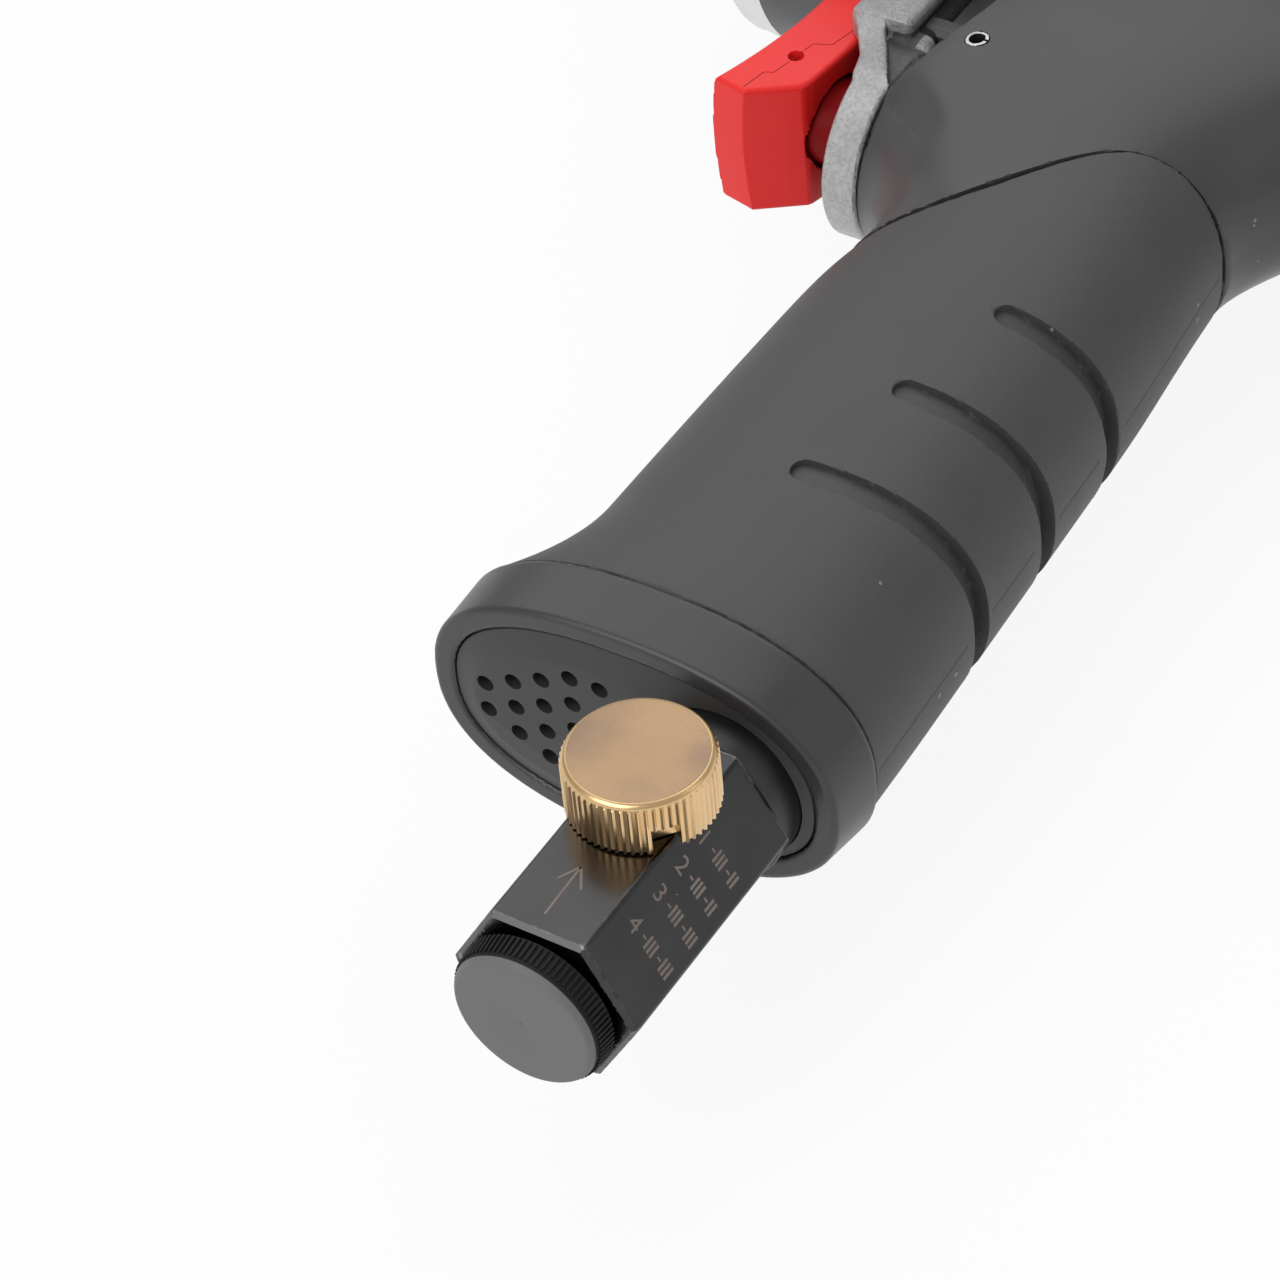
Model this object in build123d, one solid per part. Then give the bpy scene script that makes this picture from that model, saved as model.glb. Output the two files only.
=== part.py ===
from build123d import *
import os
from math import copysign, cos, exp, pi, radians, sin

# Pistol-grip air impact wrench, lying on its right side.
# The origin is on the drive axis at the shoulder that a socket seats against.
# +X points out of the nose, +Y down the handle, +Z to the tool's left side, which faces up.
# All sizes are in millimetres.

# Square drive and anvil
DRIVE_ACROSS_FLATS = 12.7
DRIVE_LENGTH = 21.0
DRIVE_CORNER_RADIUS = 8.3
DRIVE_TIP_CHAMFER = 1.2
RING_GROOVE_FROM = 12.5
RING_GROOVE_TO = 15.7
RING_GROOVE_RADIUS = 6.0
SOCKET_RING_RADIUS = 8.0
SOCKET_RING_BORE = 7.0
SOCKET_RING_GAP = 2.0
SOCKET_RING_SIDE_GAP = 0.1
CUSHION_SIDE_GAP = 0.4
SHANK_RADIUS = 11.0
SHANK_BACK = -17.2
THRUST_COLLAR_RADIUS = 15.0
THRUST_COLLAR_BACK = -20.2
ANVIL_CORE_RADIUS = 8.5
ANVIL_CORE_BACK = -44.2
ANVIL_PILOT_RADIUS = 4.95
ANVIL_PILOT_BACK = -47.0
JAW_RADIUS = 11.0
JAW_HALF_ANGLE = 30.0

# Hammer case and nose bushing
NOSE_FRONT = -1.5
NOSE_RADIUS = 17.0
NOSE_BACK = -8.5
NOSE_EDGE = 1.0
CASE_NECK = (-11.5, 21.5)
CASE_SHOULDER = (-14.6, 27.5)
CASE_EDGE = -16.0
CASE_EDGE_LAND = 4.5
CASE_EDGE_CHAMFER = 0.9
CASE_RADIUS = 31.5
CASE_BACK = -50.0
CASE_CAVITY_RADIUS = 26.5
CASE_CAVITY_FRONT = -17.0
NOSE_BUSHING_RADIUS = 14.0
NOSE_BUSHING_FRONT = -3.0
NOSE_HOLE_RADIUS = 11.6
SHAFT_CLEARANCE = 0.05
FIT = 0.3
OVERLAP = 1.0

# Hammer cage, hammers and their pins
CAGE_RADIUS = 25.5
CAGE_BACK = -49.8
CAGE_REAR_PLATE_FRONT = -44.6
CAGE_FRONT_PLATE_BACK = -24.4
CAGE_FRONT_PLATE_FRONT = -20.6
CAGE_FRONT_HOLE = 11.8
CAGE_BAR_INNER_RADIUS = 22.8
CAGE_BAR_HALF_ANGLE = 30.0
HAMMER_RADIUS = 21.0
HAMMER_BORE = 12.7
HAMMER_LUG_RADIUS = 10.3
HAMMER_LUG_FROM = 47.0
HAMMER_LUG_TO = 97.0
HAMMER_PIN_OFFSET = 20.8
HAMMER_PIN_RADIUS = 3.3
HAMMER_SWING_SLOT = 6.0
REAR_HAMMER_BACK = -44.1
HAMMER_LENGTH = 9.5
HAMMER_SPACING = 9.9

# Front frame: ring, lugs, web and trigger boss in one casting
CASE_GASKET_THICKNESS = 0.5
FRAME_FRONT = CASE_BACK - CASE_GASKET_THICKNESS
FRAME_BACK = -64.0
FRAME_RADIUS = 32.0
FRAME_SHAFT_HOLE = 8.0
BEARING_FRONT = -52.0
BEARING_BACK = -59.0
FRONT_BEARING_RADIUS = 14.0
SHAFT_RADIUS = 6.0
END_PLATE_RECESS_FRONT = -60.0
END_PLATE_RADIUS = 26.4
WEB_FRONT = -52.5
WEB_END_Y = 53.2
WEB_HALF_WIDTH = 15.0
WEB_CHAMFER = 0.5
NECK_HALF_WIDTH = 13.0
NECK_FRONT = ((-52.5, 52.2), (-54.7, 55.6), (-57.4, 59.6), (-59.0, 63.5))
NECK_BACK = ((-64.0, 63.5), (-62.2, 60.5), (-60.2, 57.0), (-58.1, 53.6), (-58.1, 52.2))
STEM_Y = 61.0
BOSS_FRONT = -59.0
BOSS_BACK = -64.4
BOSS_RADIUS = 13.6
BOSS_BORE = 10.3
BOSS_RECESS_BACK = -68.0
TRIGGER_POCKET_BACK = -61.5
TRIGGER_POCKET_TOP = 40.5
TRIGGER_POCKET_END = 65.5
TRIGGER_POCKET_HALF_WIDTH = 11.0
SPINE_BACK = -74.0
SPINE_END_Y = 50.0
SPINE_HALF_WIDTH = 9.0
BOLT_CIRCLE_RADIUS = 34.5
BOLT_COUNT = 4
BOLT_LUG_RADIUS = 5.8
CASE_LUG_FRONT = -35.0
BOLT_SHANK_RADIUS = 2.9
BOLT_HEAD_RADIUS = 4.25
BOLT_HEAD_LENGTH = 5.5
BOLT_SOCKET_ACROSS_FLATS = 5.0
SOCKET_DEPTH_SHARE = 0.6
BOLT_END = -62.5

# Vane motor
LINER_RADIUS = 26.9
LINER_BORE = 21.5
LINER_OFFSET = 1.4
LINER_FRONT = -66.0
LINER_BACK = -120.0
LINER_PORT_COUNT = 5
LINER_PORT_LENGTH = 4.0
LINER_PORT_WIDTH = 14.0
END_PLATE_HOLE = 7.0
REAR_PLATE_BACK = -126.0
REAR_BOSS_BACK = -134.0
REAR_BOSS_RADIUS = 17.0
REAR_BEARING_RADIUS = 13.0
REAR_BEARING_FRONT = -126.5
REAR_BEARING_BACK = -133.5
ROTOR_RADIUS = 19.9
ROTOR_SIDE_GAP = 0.2
ROTOR_SPLINE_RADIUS = 5.0
ROTOR_SPLINE_FRONT = -47.6
VANE_COUNT = 6
VANE_THICKNESS = 2.0
VANE_SLOT_WIDTH = 2.2
VANE_SLOT_FLOOR = 11.0
VANE_TIP_GAP = 0.2

# Motor housing barrel and rear cover
BARREL_RADIUS = 31.8
BARREL_BORE = 27.0
BARREL_TAIL_X = -128.0
BARREL_TAIL_RADIUS = 30.0
BARREL_BACK = -140.0
BARREL_REAR_BORE = 22.0
REAR_GASKET_THICKNESS = 0.5
COVER_FRONT = BARREL_BACK - REAR_GASKET_THICKNESS
COVER_BACK = -152.0
COVER_LAND = -144.5
COVER_FACE_RADIUS = 22.0
COVER_PILOT_RADIUS = 21.8
COVER_PILOT_BORE = 18.0
COVER_PILOT_FRONT = -136.0
SCREW_CIRCLE_RADIUS = 26.0
SCREW_COUNT = 4
SCREW_SHANK_RADIUS = 2.0
SCREW_HEAD_RADIUS = 3.6
SCREW_HEAD_LENGTH = 4.0
SCREW_SEAT = -146.0
SCREW_FRONT = -130.0
SCREW_RECESS_ACROSS_FLATS = 3.0

# Handle form: edges at the top and the end of the grip, and the flare towards the foot
GRIP_TOP_Y = 56.0
GRIP_END_Y = 167.3
GRIP_BACK_X = -116.2
GRIP_BACK_END_X = -120.6
GRIP_FRONT_X = -73.0
GRIP_FRONT_END_X = -70.1
GRIP_FRONT_BELLY = 0.75
GRIP_FRONT_DIP = 1.5
GRIP_DIP_Y = 88.0
GRIP_DIP_SPAN = 8.0
GRIP_BACK_HOLLOW = 1.7
GRIP_HOLLOW_END_Y = 100.0
GRIP_HOLLOW_SPAN = 30.0
GRIP_HALF_WIDTH = 17.2
GRIP_HALF_WIDTH_END = 18.45
GRIP_SECTION_COUNT = 13
FLARE_START_Y = 149.5
FLARE = 7.1
# Upper handle: how far it swells beyond the grip, and over what length
HOUSING_TOP_Y = 22.0
HOUSING_END_Y = 104.0
HOUSING_SECTION_COUNT = 11
HOUSING_STEP = 0.2
WEB_SWELL = 22.0
WEB_SWELL_END_Y = 66.0
WEB_SWELL_SPAN = 28.0
FRONT_SWELL = 13.0
FRONT_SWELL_END_Y = 84.0
FRONT_SWELL_SPAN = 18.0
PANEL_SWELL = 1.3
PANEL_POWER = 3.6
GRIP_POWER = 2.35
OVAL_POINTS = 12
SLEEVE_WALL = 3.2
# Front edge of the housing's side panels, as an arc from the barrel down to the snout
PANEL_EDGE_TOP = (-72.2, 20.0)
PANEL_EDGE_MIDDLE = (-71.0, 53.0)
PANEL_EDGE_END = (-64.4, 67.0)
CORE_END_Y = 167.0
# Line on which the housing meets the grip sleeve, from the back to the front
SEAM_POINTS = (
    (-135.0, 64.4),
    (-115.0, 64.3),
    (-101.6, 66.8),
    (-88.4, 81.6),
    (-78.0, 90.0),
    (-58.0, 95.0),
)
SEAM_GAP = 0.4
SNOUT_FRONT_RADIUS = 13.4
SNOUT_BACK = -80.0
SNOUT_BACK_HALF_HEIGHT = 23.0
SNOUT_BACK_HALF_WIDTH = 15.5
SNOUT_BACK_Y = 65.0

# Finger grooves round the back of the grip
GROOVE_STARTS = ((-104.0, 102.6), (-100.1, 121.7), (-96.4, 140.7))
GROOVE_WIDTH = 3.9
GROOVE_TILT = 4.7
GROOVE_SIDE_DEPTH = 0.8
GROOVE_BACK_DEPTH = 2.2
GROOVE_REACH = 40.0

# Foot cap and exhaust grille
FOOT_TOP_Y = 167.7
FOOT_TOP_OVAL = (-120.8, -62.7, 18.6)
FOOT_RIM_Y = 175.2
FOOT_RIM_OVAL = (-120.4, -62.6, 18.0)
FOOT_BOTTOM_Y = 176.5
FOOT_BOTTOM_INSET = 1.2
FOOT_FLOOR_Y = 172.5
RIM_WIDTH = 3.1
GRILLE_EDGE_Y = 176.0
GRILLE_FACE_Y = 177.4
GRILLE_BEVEL = 3.2
GRILLE_FIT = 0.15
HOLE_RADIUS = 1.2
HOLE_PITCH_Z = 4.4
HOLE_FIRST_X = -71.2
HOLE_PITCH_X = 4.3
HOLE_COLUMNS = (2, 3, 4, 5, 5)

# Rib on each side of the spine, between the panel's front edge and the front frame
RIB_FROM_Y = 46.9
RIB_TO_Y = 50.9
RIB_INNER_Z = 9.6
RIB_OUTER_Z = 12.2

# Air passages in the handle
INLET_X = -104.0
INLET_PASSAGE_RADIUS = 6.0
EXHAUST_FROM_X = -91.5
EXHAUST_TO_X = -77.5
EXHAUST_HALF_WIDTH = 10.5
EXHAUST_CORNER = 5.0
EXHAUST_TOP_Y = 80.0
EXHAUST_DUCT_RADIUS = 2.6
EXHAUST_DUCT_X = -84.0
EXHAUST_DUCT_Z = 11.5
EXHAUST_DUCT_TOP_Y = 24.0
FELT_TOP_Y = 150.0
FELT_FIT = 0.3

# Inlet bushing, screen, regulator and plug
BUSHING_TOP_Y = 142.0
BUSHING_RADIUS = 9.4
BUSHING_COLLAR_TOP_Y = 178.2
BUSHING_COLLAR_RADIUS = 11.6
BUSHING_THREAD_TOP_Y = 168.5
THREAD_RADIUS = 6.6
BUSHING_BORE = 5.4
SCREEN_RADIUS = 5.3
SCREEN_WALL = 0.5
SCREEN_TOP_Y = 146.0
HEX_ACROSS_FLATS = 22.0
HEX_TOP_Y = 181.3
HEX_END_Y = 216.0
HEX_END_CHAMFER = 0.6
NIPPLE_TOP_Y = 170.0
NIPPLE_RADIUS = 6.55
REGULATOR_PASSAGE = 4.0
INLET_BORE_TOP_Y = 199.0
KNOB_Y = 192.2
KNOB_RADIUS = 9.42
KNOB_BOTTOM_Z = 11.5
KNOB_TOP_Z = 19.1
KNOB_TEETH = 54
KNOB_TOOTH_DEPTH = 0.45
KNOB_CHAMFER = 0.9
KNOB_NOTCH_ANGLE = 140.0
KNOB_NOTCH_WIDTH = 3.6
KNOB_NOTCH_HEIGHT = 3.6
KNOB_NOTCH_DEPTH = 2.6
SPOOL_RADIUS = 4.95
SPOOL_BORE = 5.0
SPOOL_BOTTOM_Z = -6.5
SPOOL_FLOOR_Z = -7.0
SPOOL_PORT_RADIUS = 3.0
SPOOL_SEAL_Z = 8.3
SEAL_SECTION_RADIUS = 0.7
PLUG_GAP = 0.6
PLUG_HEAD_BACK_RADIUS = 10.3
PLUG_FACE_RADIUS = 9.6
PLUG_FACE_Y = 220.9
PLUG_EDGE_ROUND = 0.6
PLUG_STEM_RADIUS = 6.5
PLUG_STEM_TOP_Y = 204.0
PLUG_WALL = 1.6

# Trigger and throttle
TRIGGER_HALF_WIDTH = 10.6
TRIGGER_TIP = (-40.2, 69.8)
TRIGGER_FRONT_MIDDLE = (-43.75, 56.0)
TRIGGER_TOP_FRONT = (-44.6, 44.0)
TRIGGER_TOP_BACK = (-48.5, 41.8)
TRIGGER_SHOULDER = (-52.6, 44.5)
TRIGGER_BACK_TOP = (-54.4, 51.0)
TRIGGER_HEEL = (-52.1, 66.4)
TRIGGER_CHIN = (-45.4, 71.0)
TRIGGER_EDGE = 0.5
TRIGGER_SKIRT_RADIUS = 6.8
TRIGGER_SKIRT_BORE = 5.7
TRIGGER_SKIRT_FRONT = -52.5
TRIGGER_SKIRT_BACK = -60.0
TRIGGER_BOSS_RADIUS = 4.6
TRIGGER_PIN_X = -47.9
TRIGGER_PIN_RADIUS = 1.15
TRIGGER_PIN_HALF_LENGTH = 8.0
STEM_RADIUS = 2.25
STEM_FRONT = -45.5
STEM_BACK = -88.4
STEM_BUSHING_RADIUS = 6.5
STEM_BUSHING_FRONT = -69.0
STEM_BUSHING_BACK = -82.0
STEM_SEAL_X = -70.3
STEM_SEAL_SECTION = 1.0
STEM_SEAL_RECESS = 4.6
STEM_SEAL_RECESS_LENGTH = 2.6
CHAMBER_RADIUS = 7.3
CHAMBER_BACK = -107.5
SEAT_BACK = -88.0
SEAT_BORE = 4.2
VALVE_RADIUS = 5.8
VALVE_FRONT = -88.4
VALVE_BACK = -91.5
SPRING_RADIUS = 4.6
SPRING_BORE = 3.6
BUSHING_PIN_X = -73.4
BUSHING_PIN_Y = 55.4
BUSHING_PIN_RADIUS = 1.6
BUSHING_PIN_WALL = 0.4
BUSHING_PIN_SLOT = 0.9
BUSHING_PIN_SLOT_ANGLE = 40.0
BUSHING_PIN_HALF_LENGTH = 17.6

# Reverse valve across the front frame
REVERSE_X = -58.5
REVERSE_Y = 35.0
REVERSE_REST_Z = 2.75
REVERSE_RADIUS = 4.4
REVERSE_WAIST_RADIUS = 2.6
REVERSE_WAIST_HALF_LENGTH = 5.0
REVERSE_HALF_LENGTH = 19.0
REVERSE_BUTTON_LENGTH = 3.5
REVERSE_BUTTON_CHAMFER = 0.9


def rod_x(x_from, x_to, radius, y=0.0, z=0.0):
    """Round bar along X."""
    bar = Cylinder(radius, abs(x_to - x_from))
    return Pos((x_from + x_to) / 2, y, z) * Rot(0, 90, 0) * bar


def rod_y(y_from, y_to, radius, x=0.0, z=0.0):
    """Round bar along Y."""
    bar = Cylinder(radius, abs(y_to - y_from))
    return Pos(x, (y_from + y_to) / 2, z) * Rot(90, 0, 0) * bar


def rod_z(z_from, z_to, radius, x=0.0, y=0.0):
    """Round bar along Z."""
    bar = Cylinder(radius, abs(z_to - z_from))
    return Pos(x, y, (z_from + z_to) / 2) * bar


def ring_x(x_from, x_to, outer, inner, y=0.0, z=0.0):
    """Tube along X."""
    return rod_x(x_from, x_to, outer, y, z) - rod_x(x_from, x_to, inner, y, z)


def block(x_from, x_to, y_from, y_to, z_from, z_to):
    """Rectangular block between two corners."""
    box = Box(abs(x_to - x_from), abs(y_to - y_from), abs(z_to - z_from))
    return Pos((x_from + x_to) / 2, (y_from + y_to) / 2, (z_from + z_to) / 2) * box


def turned(*profile):
    """Solid of revolution about X from (x, radius) points."""
    return revolve(make_face(Polyline(*profile, close=True)), Axis.X)


def prism_z(half_width, *profile):
    """Polygon in the XY plane, extruded equally to both sides."""
    return extrude(make_face(Polyline(*profile, close=True)), amount=half_width, both=True)


def sector_x(x_from, x_to, outer, inner, centre_angle, half_angle):
    """Part of a tube along X, its middle at centre_angle from +Y towards +Z."""
    reach = 3 * outer
    corners = [(0.0, 0.0)]
    for angle in (centre_angle - half_angle, centre_angle, centre_angle + half_angle):
        corners.append((reach * cos(radians(angle)), reach * sin(radians(angle))))
    start = Plane.YZ.offset(min(x_from, x_to))
    wedge = extrude(start * make_face(Polyline(*corners, close=True)), amount=abs(x_to - x_from))
    return ring_x(x_from, x_to, outer, inner) & wedge


def bolt_places(count, radius):
    """Places on a circle about the drive axis, between the tool's main planes."""
    places = []
    for index in range(count):
        angle = 2 * pi * (index + 0.5) / count
        places.append((radius * cos(angle), radius * sin(angle)))
    return places


def even_steps(first, last, count):
    """Values from first to last at equal steps."""
    return [first + (last - first) * index / (count - 1) for index in range(count)]


def swell(y, end, span):
    """Share from 0 at end to 1 well above it, rising smoothly over span."""
    return 1 - exp(-((max(end - y, 0.0) / span) ** 2))


def grip_edges(y):
    """Back edge, front edge and half width of the grip at distance y."""
    share = (y - GRIP_TOP_Y) / (GRIP_END_Y - GRIP_TOP_Y)
    back = GRIP_BACK_X + share * (GRIP_BACK_END_X - GRIP_BACK_X)
    back += GRIP_BACK_HOLLOW * swell(y, GRIP_HOLLOW_END_Y, GRIP_HOLLOW_SPAN)
    front = GRIP_FRONT_X + share * (GRIP_FRONT_END_X - GRIP_FRONT_X)
    front += GRIP_FRONT_BELLY * sin(pi * max(share, 0.0))
    front -= GRIP_FRONT_DIP * exp(-(((y - GRIP_DIP_Y) / GRIP_DIP_SPAN) ** 2))
    half_width = GRIP_HALF_WIDTH + share * (GRIP_HALF_WIDTH_END - GRIP_HALF_WIDTH)
    flared = max(y - FLARE_START_Y, 0.0) / (GRIP_END_Y - FLARE_START_Y)
    return back, front + FLARE * flared**2, half_width


def sleeve_edges(y):
    """Back edge, front edge and half width of the grip sleeve, which widens to meet the panels."""
    back, front, half_width = grip_edges(y)
    return back, front, half_width + PANEL_SWELL * swell(y, FRONT_SWELL_END_Y, FRONT_SWELL_SPAN)


def housing_section(y):
    """Face of the upper handle at distance y, fuller towards the front."""
    back, front, half_width = sleeve_edges(y)
    ahead = swell(y, FRONT_SWELL_END_Y, FRONT_SWELL_SPAN)
    back -= HOUSING_STEP + WEB_SWELL * swell(y, WEB_SWELL_END_Y, WEB_SWELL_SPAN)
    front += HOUSING_STEP + FRONT_SWELL * ahead
    front_power = GRIP_POWER + (PANEL_POWER - GRIP_POWER) * ahead
    return oval(y, back, front, half_width + HOUSING_STEP, front_power)


def oval(y, back, front, half_width, front_power=GRIP_POWER):
    """Face of a handle section: a rounded oval across the handle at distance y."""
    half_length = (front - back) / 2
    points = []
    for step in range(OVAL_POINTS):
        angle = 2 * pi * step / OVAL_POINTS
        power = front_power if cos(angle) > 0 else GRIP_POWER
        along = copysign(abs(cos(angle)) ** (2 / power), cos(angle))
        across = copysign(abs(sin(angle)) ** (2 / power), sin(angle))
        points.append((half_length * along, half_width * across))
    place = Plane(origin=((back + front) / 2, y, 0), x_dir=(1, 0, 0), z_dir=(0, 1, 0))
    return place * make_face(Spline(points, periodic=True))


def grip_loft(edges, back_inset=0.0, side_inset=0.0, front_inset=0.0):
    """Smooth solid through the sections that edges gives, each drawn in by the insets."""
    faces = []
    for y in even_steps(GRIP_TOP_Y, GRIP_END_Y, GRIP_SECTION_COUNT):
        back, front, half_width = edges(y)
        faces.append(oval(y, back + back_inset, front - front_inset, half_width - side_inset))
    return loft(faces)


def grip_core():
    """Inside of the grip sleeve."""
    return grip_loft(grip_edges, SLEEVE_WALL, SLEEVE_WALL, SLEEVE_WALL)


def below_seam(gap):
    """Everything on the foot's side of the seam, moved away from it by gap."""
    seam = Spline([(x, y + gap) for x, y in SEAM_POINTS])
    first = seam @ 0
    last = seam @ 1
    far_y = FOOT_BOTTOM_Y
    sides = Polyline((last.X, last.Y), (last.X, far_y), (first.X, far_y), (first.X, first.Y))
    return extrude(make_face([seam, sides]), amount=2 * BARREL_RADIUS, both=True)


def make_anvil():
    """Square drive, shank, thrust collar, core with one jaw for each hammer."""
    half = DRIVE_ACROSS_FLATS / 2
    square = block(-OVERLAP, DRIVE_LENGTH, -half, half, -half, half)
    tip_radius = DRIVE_CORNER_RADIUS - DRIVE_TIP_CHAMFER
    round_off = turned(
        (-OVERLAP, 0.0),
        (-OVERLAP, DRIVE_CORNER_RADIUS),
        (DRIVE_LENGTH - DRIVE_TIP_CHAMFER, DRIVE_CORNER_RADIUS),
        (DRIVE_LENGTH, tip_radius),
        (DRIVE_LENGTH, 0.0),
    )
    drive = square & round_off
    drive -= ring_x(RING_GROOVE_FROM, RING_GROOVE_TO, 2 * half, RING_GROOVE_RADIUS)
    body = turned(
        (0.0, 0.0),
        (0.0, SHANK_RADIUS),
        (SHANK_BACK, SHANK_RADIUS),
        (SHANK_BACK, THRUST_COLLAR_RADIUS),
        (THRUST_COLLAR_BACK, THRUST_COLLAR_RADIUS),
        (THRUST_COLLAR_BACK, ANVIL_CORE_RADIUS),
        (ANVIL_CORE_BACK, ANVIL_CORE_RADIUS),
        (ANVIL_CORE_BACK, ANVIL_PILOT_RADIUS),
        (ANVIL_PILOT_BACK, ANVIL_PILOT_RADIUS),
        (ANVIL_PILOT_BACK, 0.0),
    )
    anvil = body + drive
    for index, jaw_angle in enumerate((180.0, 0.0)):
        back = REAR_HAMMER_BACK + index * HAMMER_SPACING
        root = ANVIL_CORE_RADIUS - OVERLAP
        anvil += sector_x(back, back + HAMMER_LENGTH, JAW_RADIUS, root, jaw_angle, JAW_HALF_ANGLE)
    return anvil


def make_socket_ring():
    """Split friction ring in the groove of the square drive."""
    middle = (RING_GROOVE_FROM + RING_GROOVE_TO) / 2
    half = (RING_GROOVE_TO - RING_GROOVE_FROM) / 2 - SOCKET_RING_SIDE_GAP
    ring = ring_x(middle - half, middle + half, SOCKET_RING_RADIUS, SOCKET_RING_BORE)
    gap = SOCKET_RING_GAP / 2
    return ring - block(middle - 2 * half, middle + 2 * half, 0.0, 2 * SOCKET_RING_RADIUS, -gap, gap)


def make_socket_cushion():
    """Soft ring that presses the friction ring outwards."""
    middle = (RING_GROOVE_FROM + RING_GROOVE_TO) / 2
    half = (RING_GROOVE_TO - RING_GROOVE_FROM) / 2 - CUSHION_SIDE_GAP
    return ring_x(middle - half, middle + half, SOCKET_RING_BORE, RING_GROOVE_RADIUS)


def make_hammer_case():
    """Barrel over the hammers with a stepped nose, and a lug and a clear way for each case bolt."""
    land_back = CASE_EDGE - CASE_EDGE_LAND
    case = turned(
        (NOSE_FRONT, 0.0),
        (NOSE_FRONT, NOSE_RADIUS - NOSE_EDGE),
        (NOSE_FRONT - NOSE_EDGE, NOSE_RADIUS),
        (NOSE_BACK, NOSE_RADIUS),
        CASE_NECK,
        CASE_SHOULDER,
        (CASE_EDGE, CASE_RADIUS - CASE_EDGE_CHAMFER),
        (land_back, CASE_RADIUS),
        (CASE_BACK, CASE_RADIUS),
        (CASE_BACK, 0.0),
    )
    for y, z in bolt_places(BOLT_COUNT, BOLT_CIRCLE_RADIUS):
        case += rod_x(CASE_BACK, CASE_LUG_FRONT, BOLT_LUG_RADIUS, y, z)
    case -= rod_x(CASE_BACK, CASE_CAVITY_FRONT, CASE_CAVITY_RADIUS)
    case -= rod_x(CASE_CAVITY_FRONT, NOSE_BUSHING_FRONT, NOSE_BUSHING_RADIUS)
    case -= rod_x(NOSE_BUSHING_FRONT, NOSE_FRONT, NOSE_HOLE_RADIUS)
    for y, z in bolt_places(BOLT_COUNT, BOLT_CIRCLE_RADIUS):
        case -= rod_x(CASE_BACK, CASE_LUG_FRONT, BOLT_SHANK_RADIUS, y, z)
        case -= rod_x(CASE_LUG_FRONT, CASE_EDGE, BOLT_HEAD_RADIUS + FIT, y, z)
    return case


def make_nose_bushing():
    """Plain bearing that the anvil turns in."""
    bore = SHANK_RADIUS + SHAFT_CLEARANCE
    return ring_x(CASE_CAVITY_FRONT, NOSE_BUSHING_FRONT, NOSE_BUSHING_RADIUS, bore)


def make_hammer_cage():
    """Two plates joined by two bars; the rear plate takes the rotor's spline."""
    cage = rod_x(CAGE_BACK, CAGE_REAR_PLATE_FRONT, CAGE_RADIUS)
    cage -= rod_x(CAGE_BACK, CAGE_REAR_PLATE_FRONT, ANVIL_PILOT_RADIUS + 2 * SHAFT_CLEARANCE)
    cage += ring_x(CAGE_FRONT_PLATE_BACK, CAGE_FRONT_PLATE_FRONT, CAGE_RADIUS, CAGE_FRONT_HOLE)
    ends = (CAGE_REAR_PLATE_FRONT, CAGE_FRONT_PLATE_BACK)
    for angle in (0.0, 180.0):
        cage += sector_x(*ends, CAGE_RADIUS, CAGE_BAR_INNER_RADIUS, angle, CAGE_BAR_HALF_ANGLE)
    for z in (-HAMMER_PIN_OFFSET, HAMMER_PIN_OFFSET):
        cage -= rod_x(CAGE_BACK, CAGE_FRONT_PLATE_FRONT, HAMMER_PIN_RADIUS, 0.0, z)
    return cage


def make_hammer(back, pin_side, jaw_angle):
    """Ring-shaped hammer that rocks on one pin and clears the other."""
    front = back + HAMMER_LENGTH
    hammer = ring_x(back, front, HAMMER_RADIUS, HAMMER_BORE)
    lug_middle = jaw_angle + (HAMMER_LUG_FROM + HAMMER_LUG_TO) / 2
    lug_half = (HAMMER_LUG_TO - HAMMER_LUG_FROM) / 2
    hammer += sector_x(back, front, HAMMER_BORE + OVERLAP, HAMMER_LUG_RADIUS, lug_middle, lug_half)
    pivot_z = pin_side * HAMMER_PIN_OFFSET
    hammer -= rod_x(back, front, HAMMER_PIN_RADIUS + SHAFT_CLEARANCE, 0.0, pivot_z)
    hammer -= rod_x(back, front, HAMMER_SWING_SLOT, 0.0, -pivot_z)
    return hammer


def make_hammer_pins():
    """The two pins that the hammers rock on."""
    pins = []
    for z in (-HAMMER_PIN_OFFSET, HAMMER_PIN_OFFSET):
        pins.append(rod_x(CAGE_BACK, CAGE_FRONT_PLATE_FRONT, HAMMER_PIN_RADIUS, 0.0, z))
    return pins


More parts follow.
